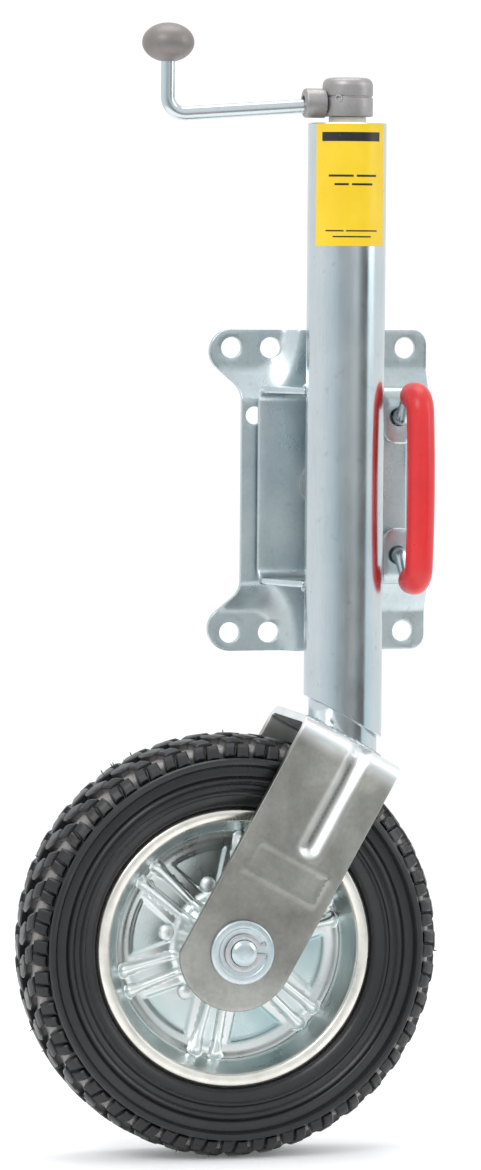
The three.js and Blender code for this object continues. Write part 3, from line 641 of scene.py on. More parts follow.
def plate_outline():
    ear = PLATE_HALF_X + HOLE_X[0]
    flank_z = HOLE_Z - 26
    corner = 9.0
    upper_ear = arc(HOLE_X[0], HOLE_Z - 2.5, ear, math.pi / 2, math.pi * 1.22, 24)
    lower_ear = arc(HOLE_X[0], 2.5 - HOLE_Z, ear, math.pi * 0.78, math.pi * 1.5, 24)
    waist = rounded([upper_ear[-1], (WAIST_X, flank_z, 6), (WAIST_X, 0)], 6, 5, False)[1:-1]
    waist += rounded([(WAIST_X, 0), (WAIST_X, -flank_z, 6), (-67, -78)], 6, 5, False)[1:-1]
    right = arc(PLATE_HALF_X - corner, corner - PLATE_HALF_Z, corner, -math.pi / 2, 0, 10)
    right += arc(PLATE_HALF_X - corner, PLATE_HALF_Z - corner, corner, 0, math.pi / 2, 10)
    return upper_ear + waist + lower_ear + right


def mounting_plate():
    holes = [circle(x, side * HOLE_Z, HOLE_R) for x in HOLE_X for side in (1, -1)]
    for x, z in ((PIN_OFFSET, PIN_OFFSET), (PIN_OFFSET, -PIN_OFFSET), (-PIN_OFFSET, PIN_OFFSET)):
        holes.append(circle(x, PIVOT_Z + z, LOCK_HOLE_R, 32))
    holes.append(circle(0, PIVOT_Z, 7.3, 32))
    return sheet_part(plate_outline(), holes, plate_surface, PLATE_T, 0.5, 2.6, 1.6)


piece("mounting_plate_sheet", mounting_plate(), "zinc_bright", "mount", ["mounting_plate"], smooth_angle=40)


# ---------------------------------------------------------------- swivel bracket
BRACKET_LOW, BRACKET_HIGH = box_mm("swivel_bracket")
BRACKET_T = 4.0
BRACKET_BEND = 8.0                       # radius of the middle surface where the flanges leave the web
EAR_BEND = 5.0                           # and where the ears leave the flanges
BRACKET_HALF = half_size("swivel_bracket", 2)
BRACKET_MID = BRACKET_HALF - BRACKET_T / 2
WEB_Y = BRACKET_HIGH[1] - BRACKET_T / 2
EAR_FRONT = -40.0
EAR_Y = EAR_FRONT + BRACKET_T / 2
EAR_LEFT = 33.0
EAR_LENGTH = 35.5
FLANGE_FRONT = TUBE_Y + 8
# Distances along the flat pattern, from the web's middle.
WEB_END = BRACKET_MID - BRACKET_BEND
FLANGE_START = WEB_END + math.pi / 2 * BRACKET_BEND
FLANGE_END = FLANGE_START + (WEB_Y - EAR_Y) - BRACKET_BEND - EAR_BEND
EAR_START = FLANGE_END + math.pi / 2 * EAR_BEND


def bracket_surface(flat):
    """The pattern's first axis is X; its second runs from the web's middle round the flange into the ear."""
    x = flat[:, 0]
    s = np.abs(flat[:, 1])
    sign = np.where(flat[:, 1] < 0, -1.0, 1.0)
    a = np.clip((s - WEB_END) / BRACKET_BEND, 0, math.pi / 2)
    b = np.clip((s - FLANGE_END) / EAR_BEND, 0, math.pi / 2)
    y = WEB_Y - BRACKET_BEND * (1 - np.cos(a)) - np.maximum(s - FLANGE_START, 0)
    z = np.minimum(s, WEB_END) + BRACKET_BEND * np.sin(a)
    in_ear = (x > EAR_LEFT - 0.8) & (s > FLANGE_END)
    y = np.where(in_ear, EAR_Y + EAR_BEND * (1 - np.sin(b)), y)
    z = np.where(in_ear, BRACKET_MID - EAR_BEND * (1 - np.cos(b)) - np.maximum(s - EAR_START, 0), z)
    ny = np.where(in_ear, np.sin(b), -np.cos(a))
    nz = np.where(in_ear, -np.cos(b), -np.sin(a))
    at = np.stack([x, y, PIVOT_Z + sign * z], axis=1)
    return at, np.stack([np.zeros(len(flat)), ny, sign * nz], axis=1)


def bracket_pattern():
    """Outline and holes of the bracket's flat pattern."""
    def along(y):
        """Pattern distance of a point on the flange at depth y."""
        return FLANGE_START + (WEB_Y - BRACKET_BEND - y)

    ear_end = EAR_START + EAR_LENGTH - BRACKET_T / 2 - EAR_BEND
    seat_r = TUBE_R + 0.3
    seat_angle = math.asin((FLANGE_FRONT - TUBE_Y) / seat_r)
    seat = arc(0, TUBE_Y, seat_r, math.pi - seat_angle, seat_angle, 24)
    upper = [(BRACKET_LOW[0], along(-32), 4), (-24, along(FLANGE_FRONT), 1.0)]
    upper += [(x, along(y), 0) for x, y in seat]
    upper += [(24, along(FLANGE_FRONT), 1.0), (EAR_LEFT - 2, along(EAR_FRONT - 1), 2)]
    upper += [(EAR_LEFT - 2, FLANGE_END - 1, 0.8), (EAR_LEFT, FLANGE_END - 1, 0.4)]
    upper += [(EAR_LEFT, ear_end, 9), (BRACKET_HIGH[0], ear_end, 9)]
    lower = [(x, -s, r) for x, s, r in reversed(upper)]
    pin_in_ear = EAR_START + (BRACKET_MID - EAR_BEND) - PIN_OFFSET
    holes = [circle(0, 0, 7.4, 32)]
    for s in (PIN_OFFSET, pin_in_ear, -PIN_OFFSET, -pin_in_ear):
        holes.append(circle(PIN_OFFSET, s, LOCK_HOLE_R, 32))
    return rounded(upper + lower, 1.0, 6), holes


bracket_shape = sheet_part(*bracket_pattern(), bracket_surface, BRACKET_T, 1.4, 2.4, 1.4)
piece("swivel_bracket_sheet", bracket_shape, "zinc_bright", "column", ["swivel_bracket"], smooth_angle=40)


# ---------------------------------------------------------------- tubes
def arm_plane_z(height, x):
    """Height of the plane that lies this far above the axle along the arms, at a given X."""
    return AXLE[2] + (height - (x - AXLE[0]) * math.sin(LEAN)) / math.cos(LEAN)


def cut_tube(outer, bore, top, end, bead=None, edge=0.5):
    """A tube whose lower end is cut square to the fork arms. bead is a rolled groove's height and depth."""
    def loop_at(a):
        low_out = arm_plane_z(end, TUBE_X + outer * math.cos(a))
        low_in = arm_plane_z(end, TUBE_X + bore * math.cos(a))
        loop = [(outer - edge, low_out + 0.02), (outer, low_out + edge)]
        loop += [(outer, low_out + (top - low_out) * share) for share in (0.25, 0.5, 0.75)]
        if bead:
            z, depth = bead
            loop += [(outer - d, z + dz) for dz, d in ((-3, 0), (-1.5, depth), (1.5, depth), (3, 0))]
        loop += [(outer, top - edge), (outer - edge, top), (bore + edge, top), (bore, top - edge)]
        if bead:
            loop += [(bore - d, z + dz) for dz, d in ((2.4, 0), (1, depth), (-1, depth), (-2.4, 0))]
        return loop + [(bore, low_in + edge), (bore + edge, low_in + 0.02)]

    return lathe(loop_at, 128, "z", TUBE_AXIS)


TUBE_BORE = 21.55
TUBE_END = 157.0                         # the outer tube's end, up the fork arms from the axle
WEB_TOP = 145.5                          # and the fork web's upper face
INNER_TOP = box_mm("inner_tube")[1][2]
INNER_R = half_size("inner_tube", 1)
INNER_BORE = 18.7
outer_shape = cut_tube(TUBE_R, TUBE_BORE, TUBE_TOP, TUBE_END)
piece("outer_tube_wall", outer_shape, "zinc_tube", "column", ["outer_tube"])
inner_shape = cut_tube(INNER_R, INNER_BORE, INNER_TOP, WEB_TOP + 0.3, (INNER_TOP - 14, 1.5))
piece("inner_tube_wall", inner_shape, "zinc_tube", "fork", ["inner_tube"])


# ---------------------------------------------------------------- welds
def weld(path, size, ripple, is_closed=False, seed=0):
    """A weld bead along a path, its ripples running round it."""
    rng = np.random.default_rng(seed)
    uneven = rng.normal(0, 0.05, 12)

    def size_at(t):
        slow = sum(u * math.sin(TAU * (k + 1) * t + k) for k, u in enumerate(uneven)) / 3
        return size * (1 + 0.09 * math.sin(TAU * ripple * t) + slow)

    return sweep(path, size_at, 14, is_closed, end_round=0.0 if is_closed else size * 0.6)


fork_ring = circle(TUBE_X, TUBE_Y, INNER_R + 0.6, 220)
fork_weld = weld([(x, y, arm_plane_z(WEB_TOP, x) + 0.2) for x, y in fork_ring], 2.1, 34, True, 3)
piece("fork_weld", fork_weld, "weld", "fork", smooth_angle=80)
seat_start = math.radians(24)
seat_line = arc(TUBE_X, TUBE_Y, TUBE_R + 0.5, seat_start, math.pi - seat_start, 90)
weld_runs = []
for seed, side in ((10, 1), (11, -1)):
    z = PIVOT_Z + side * (BRACKET_HALF + 0.4)
    weld_runs.append(weld([(x, y, z) for x, y in seat_line], 2.2, 24, seed=seed))
piece("bracket_weld", merged(*weld_runs), "weld", "column", smooth_angle=80)


# ---------------------------------------------------------------- fork yoke
ARM_T = 5.0
ARM_OUT = half_size("fork_yoke", 1)
ARM_END_R = 35.8
ARM_END_X, ARM_END_Z = -2.2, -2.0
ARM_LEFT, ARM_RIGHT = -34.0, 34.0
ARM_WIDENS = 45.0                        # where the right edge starts to widen, up from the axle
PANEL_U = 55.0                           # middle of the pressed frame, up from the axle
BEAD_X = 6.0                             # the pressed bead's line across the strip
BEAD_HALF = 8.0
BEAD_END = 76.0                          # centre of the bead's round end, up from the axle
YOKE_BEND = 6.5                          # radius of the strip's middle surface in its bends
YOKE_ARC = math.pi / 2 * YOKE_BEND
YOKE_FLAT = ARM_OUT - ARM_T / 2 - YOKE_BEND
YOKE_TOP = WEB_TOP - ARM_T / 2
# Dents in the arms: across and up from the axle, radius and depth.
DENTS = [(-15, 126, 8, 0.7), (-24, 112, 6, 0.35), (25, 122, 7, 0.8), (20, 104, 9, 0.3)]


def yoke_surface(flat):
    """The pattern's first axis runs across the strip; its second from the web's middle down either arm."""
    v = flat[:, 0]
    s = np.abs(flat[:, 1])
    sign = np.where(flat[:, 1] < 0, -1.0, 1.0)
    a = np.clip((s - YOKE_FLAT) / YOKE_BEND, 0, math.pi / 2)
    ny, nu = np.sin(a), np.cos(a)
    y = np.minimum(s, YOKE_FLAT) + YOKE_BEND * ny
    u = YOKE_TOP - YOKE_BEND * (1 - nu) - np.maximum(s - YOKE_FLAT - YOKE_ARC, 0)
    lift = yoke_relief(v, u, s - YOKE_FLAT, sign)
    u = u + nu * lift
    y = y + ny * lift
    across = np.array([0, 1.0, 0])
    at = AXLE + v[:, None] * ARM_SIDE + u[:, None] * ARM_UP + (sign * y)[:, None] * across
    return at, nu[:, None] * ARM_UP + (sign * ny)[:, None] * across


def yoke_relief(v, u, s, sign):
    """Pressed shapes: the bead sunk into each bend and arm, a plain frame on the near arm, and shallow dents.

    s runs down the strip from the start of its bend.
    """
    on_arm = s > YOKE_ARC
    apart = np.sqrt((v - BEAD_X) ** 2 + np.where(on_arm, np.minimum(u - BEAD_END, 0), 0) ** 2)
    channel = 1 - blend_step(apart, 0.6, BEAD_HALF)
    depth = 5.4 * blend_step(s, -8, YOKE_ARC * 0.5) - 1.6 * blend_step(s, YOKE_ARC * 0.5, YOKE_ARC + 18)
    lip = np.exp(-((apart - BEAD_HALF - 0.6) / 1.2) ** 2) * blend_step(s, 0, YOKE_ARC)
    away = np.maximum(np.abs(u - PANEL_U) - 9.5, np.abs(v - 1.0) - 24.5)
    panel = np.where(on_arm & (sign < 0), 0.75 * (1 - blend_step(np.abs(away), 0.5, 1.5)), 0.0)
    dents = sum(sink * np.exp(-((v - at_v) ** 2 + (u - at_u) ** 2) / r ** 2) for at_v, at_u, r, sink in DENTS)
    return -depth * channel + 0.4 * lip + panel - np.where(on_arm, dents, 0.0)


def yoke_pattern():
    """Outline and holes of the strip, whose arms end on an arc round the axle."""
    def along(u):
        return YOKE_FLAT + YOKE_ARC + (YOKE_TOP - YOKE_BEND - u)

    start = TAU - math.acos((ARM_LEFT - ARM_END_X) / ARM_END_R)
    side = [(v, along(u), 0) for v, u in arc(ARM_END_X, ARM_END_Z, ARM_END_R, start, TAU, 40)]
    side[0] = (*side[0][:2], 2.5)
    side.append((ARM_RIGHT, along(ARM_WIDENS), 20))
    far = [(v, -s, r) for v, s, r in reversed(side)]
    holes = [circle(0, sign * along(0), 8.3, 40) for sign in (1, -1)]
    holes.append(circle(-20, -26, 3.0, 24))
    return rounded(side + far, 2.0, 8), holes


def paint(obj, layer, marks_at):
    """Give every vertex its red and green marks, from its place in millimetres from the axle."""
    colours = obj.data.color_attributes.new(layer, "FLOAT_COLOR", "POINT")
    for vertex, colour in zip(obj.data.vertices, colours.data):
        red, green = marks_at(np.array(vertex.co) / MM - AXLE)
        colour.color = (float(red), float(green), 0, 1)


def yoke_marks(place):
    """Red for a painted highlight on the web, the bends and the bead's slopes, weaker on one side of the
    bead; green for a painted shade line along the bead.
    """
    u = float(np.dot(place, ARM_UP))
    v = float(np.dot(place, ARM_SIDE)) - BEAD_X
    down = max(BEAD_END - u, 0.0)
    # Painted highlight over the upward-facing web and top bends, and over the bead's lit slope.
    plated = blend_step(u, 128, 141)
    slope = math.exp(-((math.hypot(v, down) - BEAD_HALF * 0.55) / (BEAD_HALF * 0.33)) ** 2)
    slope *= 1.0 if v > -1.0 or down > 3 else 0.35
    # Painted shade: a dark line along the bead, just beside its middle.
    painted_bead_shade = math.exp(-((v + 1.2) / 1.3) ** 2) * blend_step(u, BEAD_END - 1, BEAD_END + 3)
    return max(plated, slope), 0.75 * painted_bead_shade * (1 - plated)


yoke_shape = sheet_part(*yoke_pattern(), yoke_surface, ARM_T, 0.7, 1.9, 1.5)
yoke = piece("fork_yoke_strip", yoke_shape, "zinc_brushed", "fork", ["fork_yoke"], smooth_angle=45)
# Lay the yoke's painted highlight and painted shade marks.
paint(yoke, "painted_highlight_and_shade", yoke_marks)


# ---------------------------------------------------------------- wheel
RIM_T = 2.0
RIM_R = half_size("rim_front_wall", 2)
SPOKES = 6
SPOKE_TURN = math.radians(18)
RIVET_TURN = math.radians(48)
RIVET_RING = 39.0
POCKET = 2.15
POCKET_STEP = 1.3
# Radius and height of the rim's outer face: hub cup, disc, dished wall and rolled lip.
RIM_PROFILE = [
    (15.3, 26.6), (22.5, 26.8), (25.5, 25.4), (28.0, 19.5), (31.0, 8.0), (33.5, POCKET + 2.4),
    (36.0, POCKET + POCKET_STEP), (62.5, POCKET + POCKET_STEP), (66.0, POCKET + 2.0), (68.0, 5.4),
    (69.6, 6.3), (71.0, 6.9), (73.0, 10.6), (75.5, 15.4), (77.0, 19.4), (77.7, 21.6), (78.7, 22.8),
    (80.4, 23.3), (82.6, 23.5), (84.4, 23.2), (85.4, 22.2), (RIM_R, 20.6),
]
RIB_W = 3.3                              # half the width of one rib of a spoke
RIB_END = 66.5


def from_spoke(a):
    """The angle from the middle of the nearest spoke."""
    return (a - SPOKE_TURN + math.pi / SPOKES) % (TAU / SPOKES) - math.pi / SPOKES


def rim_face(r, a):
    """Height of the rim's outer face above the middle plane: double ribs with pockets between them."""
    base = np.interp(r, [p[0] for p in RIM_PROFILE], [p[1] for p in RIM_PROFILE])
    across = np.abs(r * np.sin(from_spoke(a)))
    inner = np.minimum(np.minimum(across - 13.0, 61.5 - r), r - 35.5)
    base = base - POCKET_STEP * blend_step(inner, 0.0, 2.0)
    offset = np.interp(r, [30, 66], [4.8, 6.6])
    width = np.interp(r, [30, 60, 66], [RIB_W - 0.4, RIB_W, RIB_W + 0.9])
    apart = np.sqrt((across - offset) ** 2 + np.maximum(r - RIB_END, 0) ** 2)
    rib = np.sqrt(np.maximum(1 - (apart / width) ** 2, 0))
    web = (1 - blend_step(across, 4.0, 6.0)) * (1 - blend_step(r, RIB_END - 2, RIB_END + 1))
    top = np.interp(r, [24, 28, 31, 36, 60, RIB_END], [26, 21, 14.5, 10.0, 9.0, 9.8])
    fade = blend_step(r, 24, 29)
    rise = np.maximum(top - base, 0) * fade
    return base + np.maximum(rise * rib, rise * 0.25 * web)


def rim_half(side):
    """One pressed rim half as a sheet of even thickness over rings and spokes."""
    segments = 432
    radii = []
    for a, b in zip(RIM_PROFILE[:-1], RIM_PROFILE[1:]):
        pieces = max(2, math.ceil(b[0] - a[0]))
        radii.extend(a[0] + (b[0] - a[0]) * k / pieces for k in range(pieces))
    radii.append(RIM_R)
    r, a = np.meshgrid(radii, TAU * np.arange(segments) / segments, indexing="ij")
    face = rim_face(r, a)
    face[1:-1] = (face[:-2] + 2 * face[1:-1] + face[2:]) / 4
    layers = [np.stack([r * np.cos(a), side * (face - drop), r * np.sin(a)], axis=2) for drop in (0, RIM_T)]
    ids = np.arange(2 * r.size).reshape(2, *r.shape)
    return AXLE + np.stack(layers).reshape(-1, 3), layered(*ids, True)


def rim_marks(place):
    """Red for painted shade in the pockets, the grooves between the ribs and the inner wall; green for the
    rolled lip.
    """
    r = math.hypot(place[0], place[2])
    across = abs(r * math.sin(from_spoke(math.atan2(place[2], place[0]))))
    pocket = blend_step(min(across - 12.0, r - 34.0, 63.0 - r), 0, 2)
    groove = 0.8 * (1 - blend_step(across, 1.2, 2.8)) * blend_step(r, 33, 37)
    groove *= 1 - blend_step(r, RIB_END - 3, RIB_END)
    wall = 0.55 * blend_step(r, 69, 71) * (1 - blend_step(r, 76, 78))
    return max(pocket, groove, wall), blend_step(r, 77.2, 78.6)


for place, side in (("front", -1), ("back", 1)):
    pressed = [f"rim_{place}", f"rim_{place}_cup", f"rim_{place}_wall"]
    pressing = piece(f"rim_{place}_pressing", rim_half(side), "rim_zinc", "wheel", pressed, smooth_angle=55)
    # The red marks carry the painted shade in the rim's recesses.
    paint(pressing, "place", rim_marks)


TREAD = 40                               # shoulder blocks round each side
PITCH = TAU / TREAD
LUG_H = 4.5
# Half of the tyre's outer skin over its lugs, from the middle of the tread to the foot of the shoulder.
CROWN = np.array([
    (0, TYRE_R), (11, TYRE_R - 0.3), (18, TYRE_R - 1.2), (23.5, TYRE_R - 3.6), (27.5, TYRE_R - 7.4),
    (30.0, TYRE_R - 12.2),
])
CROWN_AT = np.concatenate([[0], np.cumsum(np.linalg.norm(np.diff(CROWN, axis=0), axis=1))])
# The ringed sidewall and the bead, as distance from the middle plane and radius.
TYRE_SIDE = [
    (30.6, 117.4), (32.0, 116.6), (32.6, 115.2), (32.2, 113.6), (30.6, 112.4), (28.9, 111.8), (29.4, 108.6),
    (29.2, 106.6), (28.2, 105.4), (29.7, 104.4), (30.2, 103.4), (29.6, 102.2), (28.4, 101.4), (27.6, 100.6),
    (27.9, 98.8), (27.2, 97.4), (28.3, 96.2), (28.2, 95.2), (26.8, 94.0), (26.4, 92.0), (25.4, 90.2),
    (24.8, 88.8), (22.9, 87.3), (20.5, 86.4), (16.6, 80.5), (9.8, 73.4), (2.5, 68.5),
]


def crown_at(share, sink=0.0):
    """Distance from the middle plane and radius at a share of the crown, and the outward normal there.

    sink moves the place that far inwards along the normal.
    """
    def on_line(d):
        return np.array([np.interp(d, CROWN_AT, CROWN[:, 0]), np.interp(d, CROWN_AT, CROWN[:, 1])])

    d = share * CROWN_AT[-1]
    dy, dr = on_line(d + 1.5) - on_line(d - 1.5)
    normal = np.array([-dr, dy]) / math.hypot(dy, dr)
    return on_line(d) - normal * sink, normal


def shoulder_half(s):
    """Half of a shoulder block's width at a share of the crown, in pitches."""
    return 0.40 - 0.25 * max(0.8 - s, 0)


def centre_half(s):
    """And half of a block's in the row beside the middle of the tread."""
    return 0.36 - 0.5 * abs(s - 0.2)


# The four blocks of one pitch on one side: where they lie round the tyre, the shares of the crown that they
# run between, their height, and their left and right edges at a share of the crown. Angles are in pitches.
BLOCKS = [
    (0, 0.70, 0.985, LUG_H,
     lambda s: 0.12 * (s - 0.8) - shoulder_half(s), lambda s: 0.3 * (s - 0.8) - 0.025),
    (0, 0.685, 0.95, LUG_H * 0.9,
     lambda s: 0.3 * (s - 0.8) + 0.065, lambda s: 0.12 * (s - 0.8) + shoulder_half(s)),
    (0, 0.43, 0.65, LUG_H,
     lambda s: -0.75 * (s - 0.64) - 0.25, lambda s: -0.75 * (s - 0.64) + 0.25),
    (0.5, 0.03, 0.40, LUG_H,
     lambda s: -0.6 * (s - 0.2) - centre_half(s), lambda s: -0.6 * (s - 0.2) + centre_half(s)),
]
LUG_ROWS = (0, 0.07, 0.285, 0.5, 0.715, 0.93, 1)
LUG_COLS = (0, 0.14, 0.5, 0.86, 1)
LUG_EDGE = 0.8                           # how far a block's rim drops below its face
LUG_FLARE = 0.0072                       # how much wider its foot is on each side, as an angle
LUG_FOOT = 1.0                           # how deep its foot goes into the carcass


def lug(side, turn, s0, s1, height, left, right):
    """One tread block: its crowned face, its flanks and its foot."""
    def at(t, c, sink, flare=0.0):
        s = s0 + (s1 - s0) * t
        (y, r), _ = crown_at(s, sink)
        a = turn + PITCH * (left(s) + (right(s) - left(s)) * c) + flare
        return AXLE + np.array([r * math.cos(a), side * y, r * math.sin(a)])

    n, m = len(LUG_ROWS), len(LUG_COLS)
    ids = np.arange(n * m).reshape(n, m)
    border = [*ids[0], *ids[1:, -1], *ids[-1, -2::-1], *ids[-2:0:-1, 0]]
    verts = [at(t, c, LUG_EDGE if t in (0, 1) or c in (0, 1) else 0.0) for t in LUG_ROWS for c in LUG_COLS]
    for b in border:
        c = LUG_COLS[b % m]
        flare = {0: -LUG_FLARE, 1: LUG_FLARE}.get(c, 0.0)
        verts.append(at(LUG_ROWS[b // m], c, height + LUG_FOOT, flare))
    foot = list(range(n * m, len(verts)))
    faces = [face for a, b in zip(ids[:-1], ids[1:]) for face in joined(a, b, False)]
    return verts, faces + joined(border, foot) + [foot]


def flash_whiskers():
    """Short bits of moulding flash that stand out of the blocks."""
    rng = np.random.default_rng(41)
    result = []
    for angle in rng.uniform(0, TAU, 46):
        s = float(rng.choice([0.1, 0.34, 0.52, 0.7]))
        side = float(rng.choice([-1, 1]))
        length = float(rng.uniform(0.9, 2.0))
        lean = float(rng.uniform(-0.5, 0.5))
        (y, r), (ny, nr) = crown_at(s)
        out = np.array([nr * math.cos(angle), side * ny, nr * math.sin(angle)])
        along = np.array([-math.sin(angle), 0, math.cos(angle)])
        foot = AXLE + np.array([r * math.cos(angle), side * y, r * math.sin(angle)]) - out * 1.2
        tip = foot + out * (length + 1.2) + along * lean * length
        result.append(sweep([foot, (foot + tip) / 2, tip], lambda t: 0.55 - 0.35 * t, 6))
    return result


def tyre():
    """The carcass with its ringed sidewalls, and on each side split shoulder blocks and two inner rows."""
    floor_line = [crown_at(float(s), LUG_H)[0] for s in np.linspace(0, 1, 14)]
    half = [(r, y) for y, r in floor_line + TYRE_SIDE]
    outline = [(r, -y) for r, y in reversed(half)] + half[1:]
    shapes = [lathe(outline, 264, "y", AXLE)]
    for side, lag in ((-1, 0.0), (1, 0.5)):
        for k in range(TREAD):
            for turn, *block in BLOCKS:
                shapes.append(lug(side, PITCH * (k + lag + turn), *block))
    return merged(*shapes, *flash_whiskers())


def tyre_marks(place):
    """Red for the groove floors between the rows of blocks, where light dust gathers."""
    across = abs(place[1])
    below = np.interp(across, CROWN[:, 0], CROWN[:, 1]) - math.hypot(place[0], place[2])
    deep = blend_step(below, 2.6, 4.2) * (1 - blend_step(below, 6, 9))
    return deep * blend_step(across, 11.0, 14.5) * (1 - blend_step(across, 22.5, 24.5)), 0.0


paint(piece("tyre_treaded", tyre(), "tyre_rubber", "wheel", ["tyre"], smooth_angle=32), "dust", tyre_marks)


# ---------------------------------------------------------------- round pieces on the tube axis and the axle
def round_piece(name, node, profile, material, body, axis="z", segments=96, soften=0.4,
                centre=TUBE_AXIS):
    """A turned piece that stands for a CAD node, with its edges softened."""
    loop = rounded(profile, soften, 3, profile[0][0] != 0)
    return piece(name, lathe(loop, segments, axis, centre), material, body, [node])


NEAR_FACE = -ARM_OUT - 0.3
FAR_FACE = ARM_OUT + 0.3
AXLE_R = 8.0
round_piece("axle_pin", "wheel_axle", [
    (0, NEAR_FACE - 7.5), (5.4, NEAR_FACE - 7.4, 1.2), (AXLE_R, NEAR_FACE - 5.6, 1.2),
    (AXLE_R, NEAR_FACE - 5.0, 0.2), (AXLE_R, FAR_FACE), (13, FAR_FACE), (13, FAR_FACE + 3.7, 1.2),
    (10.5, FAR_FACE + 6.0, 1.5), (0, FAR_FACE + 6.2),
], "zinc_bright", "fork", "y", 64, centre=AXLE)
round_piece("axle_washer_disc", "axle_washer", [
    (8.3, NEAR_FACE - 2.1), (14.6, NEAR_FACE - 2.1, 0.5), (15.6, NEAR_FACE - 2.8, 0.8),
    (18.6, NEAR_FACE - 2.8, 1.2), (19.9, NEAR_FACE - 1.8, 0.8), (19.9, NEAR_FACE), (8.3, NEAR_FACE),
], "zinc_bright", "fork", "y", 80, centre=AXLE)
HUB_END = 35.4
round_piece("hub_sleeve", "hub_tube", [(12.5, -HUB_END), (15, -HUB_END), (15, HUB_END), (12.5, HUB_END)],
            "plain_steel", "wheel", "y", 64, centre=AXLE)
BUSH = [(8.3, 19.7), (12.2, 19.7), (12.2, 35.7), (15, 35.7), (15, 37.7), (8.3, 37.7)]
for place, side in (("front", -1), ("back", 1)):
    round_piece(f"hub_bush_{place}_moulding", f"hub_bush_{place}", [(r, side * h) for r, h in BUSH],
                "nylon", "wheel", "y", 64, centre=AXLE)

for k in range(SPOKES):
    a = RIVET_TURN + TAU * k / SPOKES
    round_piece(f"rivet_{k + 1}", f"rim_rivet_{k + 1}", [
        (0, -5.85), (2.6, -5.5, 1.5), (4.6, -4.2, 1.2), (4.95, -2.45, 0.3), (2.9, -2.45),
        (2.9, 2.45), (4.95, 2.45, 0.3), (4.6, 4.2, 1.2), (2.6, 5.5, 1.5), (0, 5.85),
    ], "rivet_zinc", "wheel", "y", 40,
        centre=AXLE + RIVET_RING * np.array([math.cos(a), 0, math.sin(a)]))


def retaining_ring():
    """Open retaining ring with a lug on each end."""
    inner, outer, lug_end = 8.2, 11.6, 14.0
    thickness = 1.6
    gap_half = 0.35
    lug_wide = 0.2                       # as an angle
    start = 0.6 - LEAN + gap_half
    end = 0.6 - LEAN + TAU - gap_half

    def surface(flat):
        y = np.full(len(flat), AXLE[1] + NEAR_FACE - 2.8 - thickness / 2)
        at = np.stack([AXLE[0] + flat[:, 0], y, AXLE[2] + flat[:, 1]], axis=1)
        return at, np.tile([0.0, -1.0, 0.0], (len(flat), 1))

    def polar(*places):
        return [(r * math.cos(a), r * math.sin(a)) for r, a in places]

    points = arc(0, 0, outer, start, end, 59)
    points += polar((lug_end, end), (lug_end, end + lug_wide), (inner, end + lug_wide))
    points += arc(0, 0, inner, end, start, 59)
    points += polar((inner, start - lug_wide), (lug_end, start - lug_wide), (lug_end, start))
    return sheet_part(points, [], surface, thickness, 0.3, 1.5, 0.8)


piece("axle_retaining_ring", retaining_ring(), "plain_steel", "fork", ["axle_clip"])

CAP_LOW, CAP_HIGH = box_mm("tube_cap")
round_piece("tube_cap_moulding", "tube_cap", [
    (9.3, CAP_LOW[2]), (21.2, CAP_LOW[2]), (21.2, TUBE_TOP - 0.6), (11.5, TUBE_TOP - 0.5, 1.0),
    (11.5, CAP_HIGH[2], 0.5), (9.3, CAP_HIGH[2], 0.5),
], "nylon", "column")


def ring_piece(name, node, inner, outer, body, axis="z", segments=96, soften=0.3, centre=TUBE_AXIS):
    """A plain steel ring as thick as its CAD node."""
    low, high = (corner["xyz".index(axis)] for corner in box_mm(node))
    round_piece(name, node, [(inner, low), (outer, low), (outer, high), (inner, high)], "plain_steel", body,
                axis, segments, soften=soften, centre=centre)


for place in ("lower", "upper"):
    ring_piece(f"thrust_race_{place}_ring", f"thrust_race_{place}", 9.4, 15.5, "column")


# ---------------------------------------------------------------- crank
KNOB_X = centre_mm("crank_knob")[0]
KNOB_AXIS = (KNOB_X, TUBE_Y, 0)
KNOB_R = half_size("crank_knob", 0)
KNOB_HALF_Z = 12.0
KNOB_Z = box_mm("crank_knob")[1][2] - KNOB_HALF_Z
ring_piece("knob_push_washer", "knob_push_ring", 4.6, 6.8, "crank", "z", 40, 0.2, KNOB_AXIS)


def knob_profile():
    """A flattened ball, flat below, with a bore that widens into a hollow for the push ring."""
    bore, hollow = 4.6, 7.2
    roof = KNOB_Z + 4.5
    ball = arc(0, 0, 1, -math.acos(bore / KNOB_R), math.pi / 2, 40)[:-1]
    points = [(KNOB_R * x, KNOB_Z + KNOB_HALF_Z * y) for x, y in ball]
    return points + [(0, KNOB_Z + KNOB_HALF_Z), (0, roof), (hollow, roof), (hollow, KNOB_Z), (bore, KNOB_Z)]


knob_shape = lathe(knob_profile(), 96, "z", KNOB_AXIS)
piece("crank_knob_moulding", knob_shape, "knob_grey", "knob", ["crank_knob"])

CRANK_DROOP = math.radians(4)
CRANK_Z = 240.0
crank_corners = [
    (TUBE_X - 16.5, TUBE_Y, CRANK_Z - 16.5 * math.tan(CRANK_DROOP)),
    (KNOB_X, TUBE_Y, CRANK_Z + KNOB_X * math.tan(CRANK_DROOP)),
    (KNOB_X, TUBE_Y, KNOB_Z + 3.5),
]
crank_bar = sweep(filled(bent(crank_corners, 10, 16), 6), 4.3, 32, end_round=0.6)
piece("crank_rod_bar", crank_bar, "zinc_tube", "crank", ["crank_rod"])

HUB_LOW, HUB_HIGH = box_mm("crank_hub")


